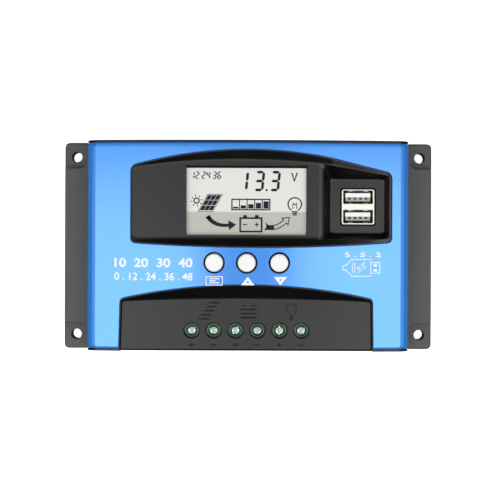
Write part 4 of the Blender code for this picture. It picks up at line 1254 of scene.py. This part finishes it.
CARRIED = [
    ("lcd_glass", CELL_GLASS),
    ("lcd_backlight", GUIDE),
    ("display_board", BOARD),
    ("usb_board", BOARD),
    ("power_board", BOARD),
    ("usb_header", DARK),
    ("board_header", DARK),
    ("controller_chip", DARK),
    ("choke", COPPER),
    ("thermal_pad", SILICONE),
]
for number in (1, 2):
    CARRIED.append((f"heat_sink_screw_{number}", STEEL))
    CARRIED.append((f"display_screw_{number}", STEEL))
    CARRIED.append((f"capacitor_{number}", ALUMINIUM))
for button in BUTTONS:
    CARRIED.append((f"tact_switch_{button}", DARK))
    CARRIED.append((f"tact_plunger_{button}", WHITE))
for number in TERMINALS:
    CARRIED.append((f"wire_clamp_{number}", STEEL))
    CARRIED.append((f"contact_bar_{number}", BRASS))
for number in range(1, 5):
    CARRIED.append((f"mosfet_{number}", DARK))


def dress_nodes():
    """Gives the carried-over nodes their finish and takes the sharpness off their edges."""
    for name, material in CARRIED:
        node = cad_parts[name]
        node.data.materials.clear()
        node.data.materials.append(material)
        bevel = node.modifiers.new("edges", "BEVEL")
        bevel.width = 0.12 * MM
        bevel.segments = 2
        bevel.limit_method = "ANGLE"
        bevel.angle_limit = math.radians(50)


# Studio, in metres


FLOOR_HALF = 4.0
FLOOR_GAP = 0.0002
BACKDROP_RADIUS = 1.8 * FLOOR_HALF
CAMERA_PLACE = (0.0009, -0.0018, 0.608)
CAMERA_ROLL = 0.22
CAMERA_LENS = 95.4


def light_panel(name, place, size, radiance, target=(0.0, 0.0, 0.0)):
    light = bpy.data.lights.new(name, "AREA")
    light.shape = "RECTANGLE"
    light.size, light.size_y = size
    light.energy = radiance * math.pi * size[0] * size[1]
    obj = bpy.data.objects.new(name, light)
    obj.location = place
    obj.rotation_mode = "QUATERNION"
    obj.rotation_quaternion = (Vector(target) - Vector(place)).to_track_quat("-Z", "Y")
    bpy.context.scene.collection.objects.link(obj)


def paper_surface():
    paper = bpy.data.materials.new("pale_floor")
    paper.use_nodes = True
    sockets = paper.node_tree.nodes["Principled BSDF"].inputs
    sockets["Base Color"].default_value = (0.85, 0.85, 0.85, 1.0)
    sockets["Roughness"].default_value = 0.9
    sockets["Specular IOR Level"].default_value = 0.1
    sockets["Emission Color"].default_value = (1.0, 1.0, 1.0, 1.0)
    sockets["Emission Strength"].default_value = 0.95
    return paper


def make_studio():
    """The floor and backdrop stay out of reflections, so black slopes that face sideways stay black."""
    scene = bpy.context.scene
    scene.view_settings.view_transform = "Standard"
    scene.view_settings.look = "None"
    world = bpy.data.worlds.new("studio")
    world.use_nodes = True
    world.node_tree.nodes["Background"].inputs["Color"].default_value = (0.03, 0.03, 0.032, 1.0)
    scene.world = world
    half, level = FLOOR_HALF, CAD_BOX[0].z - FLOOR_GAP
    floor = bpy.data.meshes.new("floor")
    corners = [(-half, -half, level), (half, -half, level), (half, half, level), (-half, half, level)]
    floor.from_pydata(corners, [], [(0, 1, 2, 3)])
    dome = bmesh.new()
    bmesh.ops.create_uvsphere(dome, u_segments=48, v_segments=24, radius=BACKDROP_RADIUS)
    backdrop = bpy.data.meshes.new("backdrop")
    dome.to_mesh(backdrop)
    dome.free()
    paper = paper_surface()
    for mesh in (floor, backdrop):
        mesh.materials.append(paper)
        obj = bpy.data.objects.new(mesh.name, mesh)
        scene.collection.objects.link(obj)
        obj.visible_glossy = False
        obj.visible_diffuse = mesh is floor
        obj.visible_shadow = mesh is floor
    light_panel("overhead", (0.0, 0.0, 1.25), (2.4, 2.4), 0.6)
    for side in (-1, 1):
        near = (side * 0.6, -0.34)
        light_panel(f"near_side_{side + 1}", (*near, 1.2), (0.94, 0.9), 2.9, (*near, 0.0))
        light_panel(f"far_side_{side + 1}", (side * 1.4, -0.2, 0.95), (0.8, 1.3), 0.8)


def make_camera():
    camera = bpy.data.cameras.new("camera")
    camera.sensor_width = 36.0
    camera.lens = CAMERA_LENS
    camera.clip_start, camera.clip_end = 0.01, 20.0
    obj = bpy.data.objects.new("camera", camera)
    obj.location = CAMERA_PLACE
    obj.rotation_euler = (0.0, 0.0, math.radians(CAMERA_ROLL))
    bpy.context.scene.collection.objects.link(obj)
    bpy.context.scene.camera = obj


make_housing()
make_cover()
make_case()
make_display()
make_buttons()
make_sockets()
make_terminal_block()
make_terminal_screws()
make_print()
make_shelf_marks()
make_heat_sink()
make_case_screws()
dress_nodes()
make_studio()
make_camera()
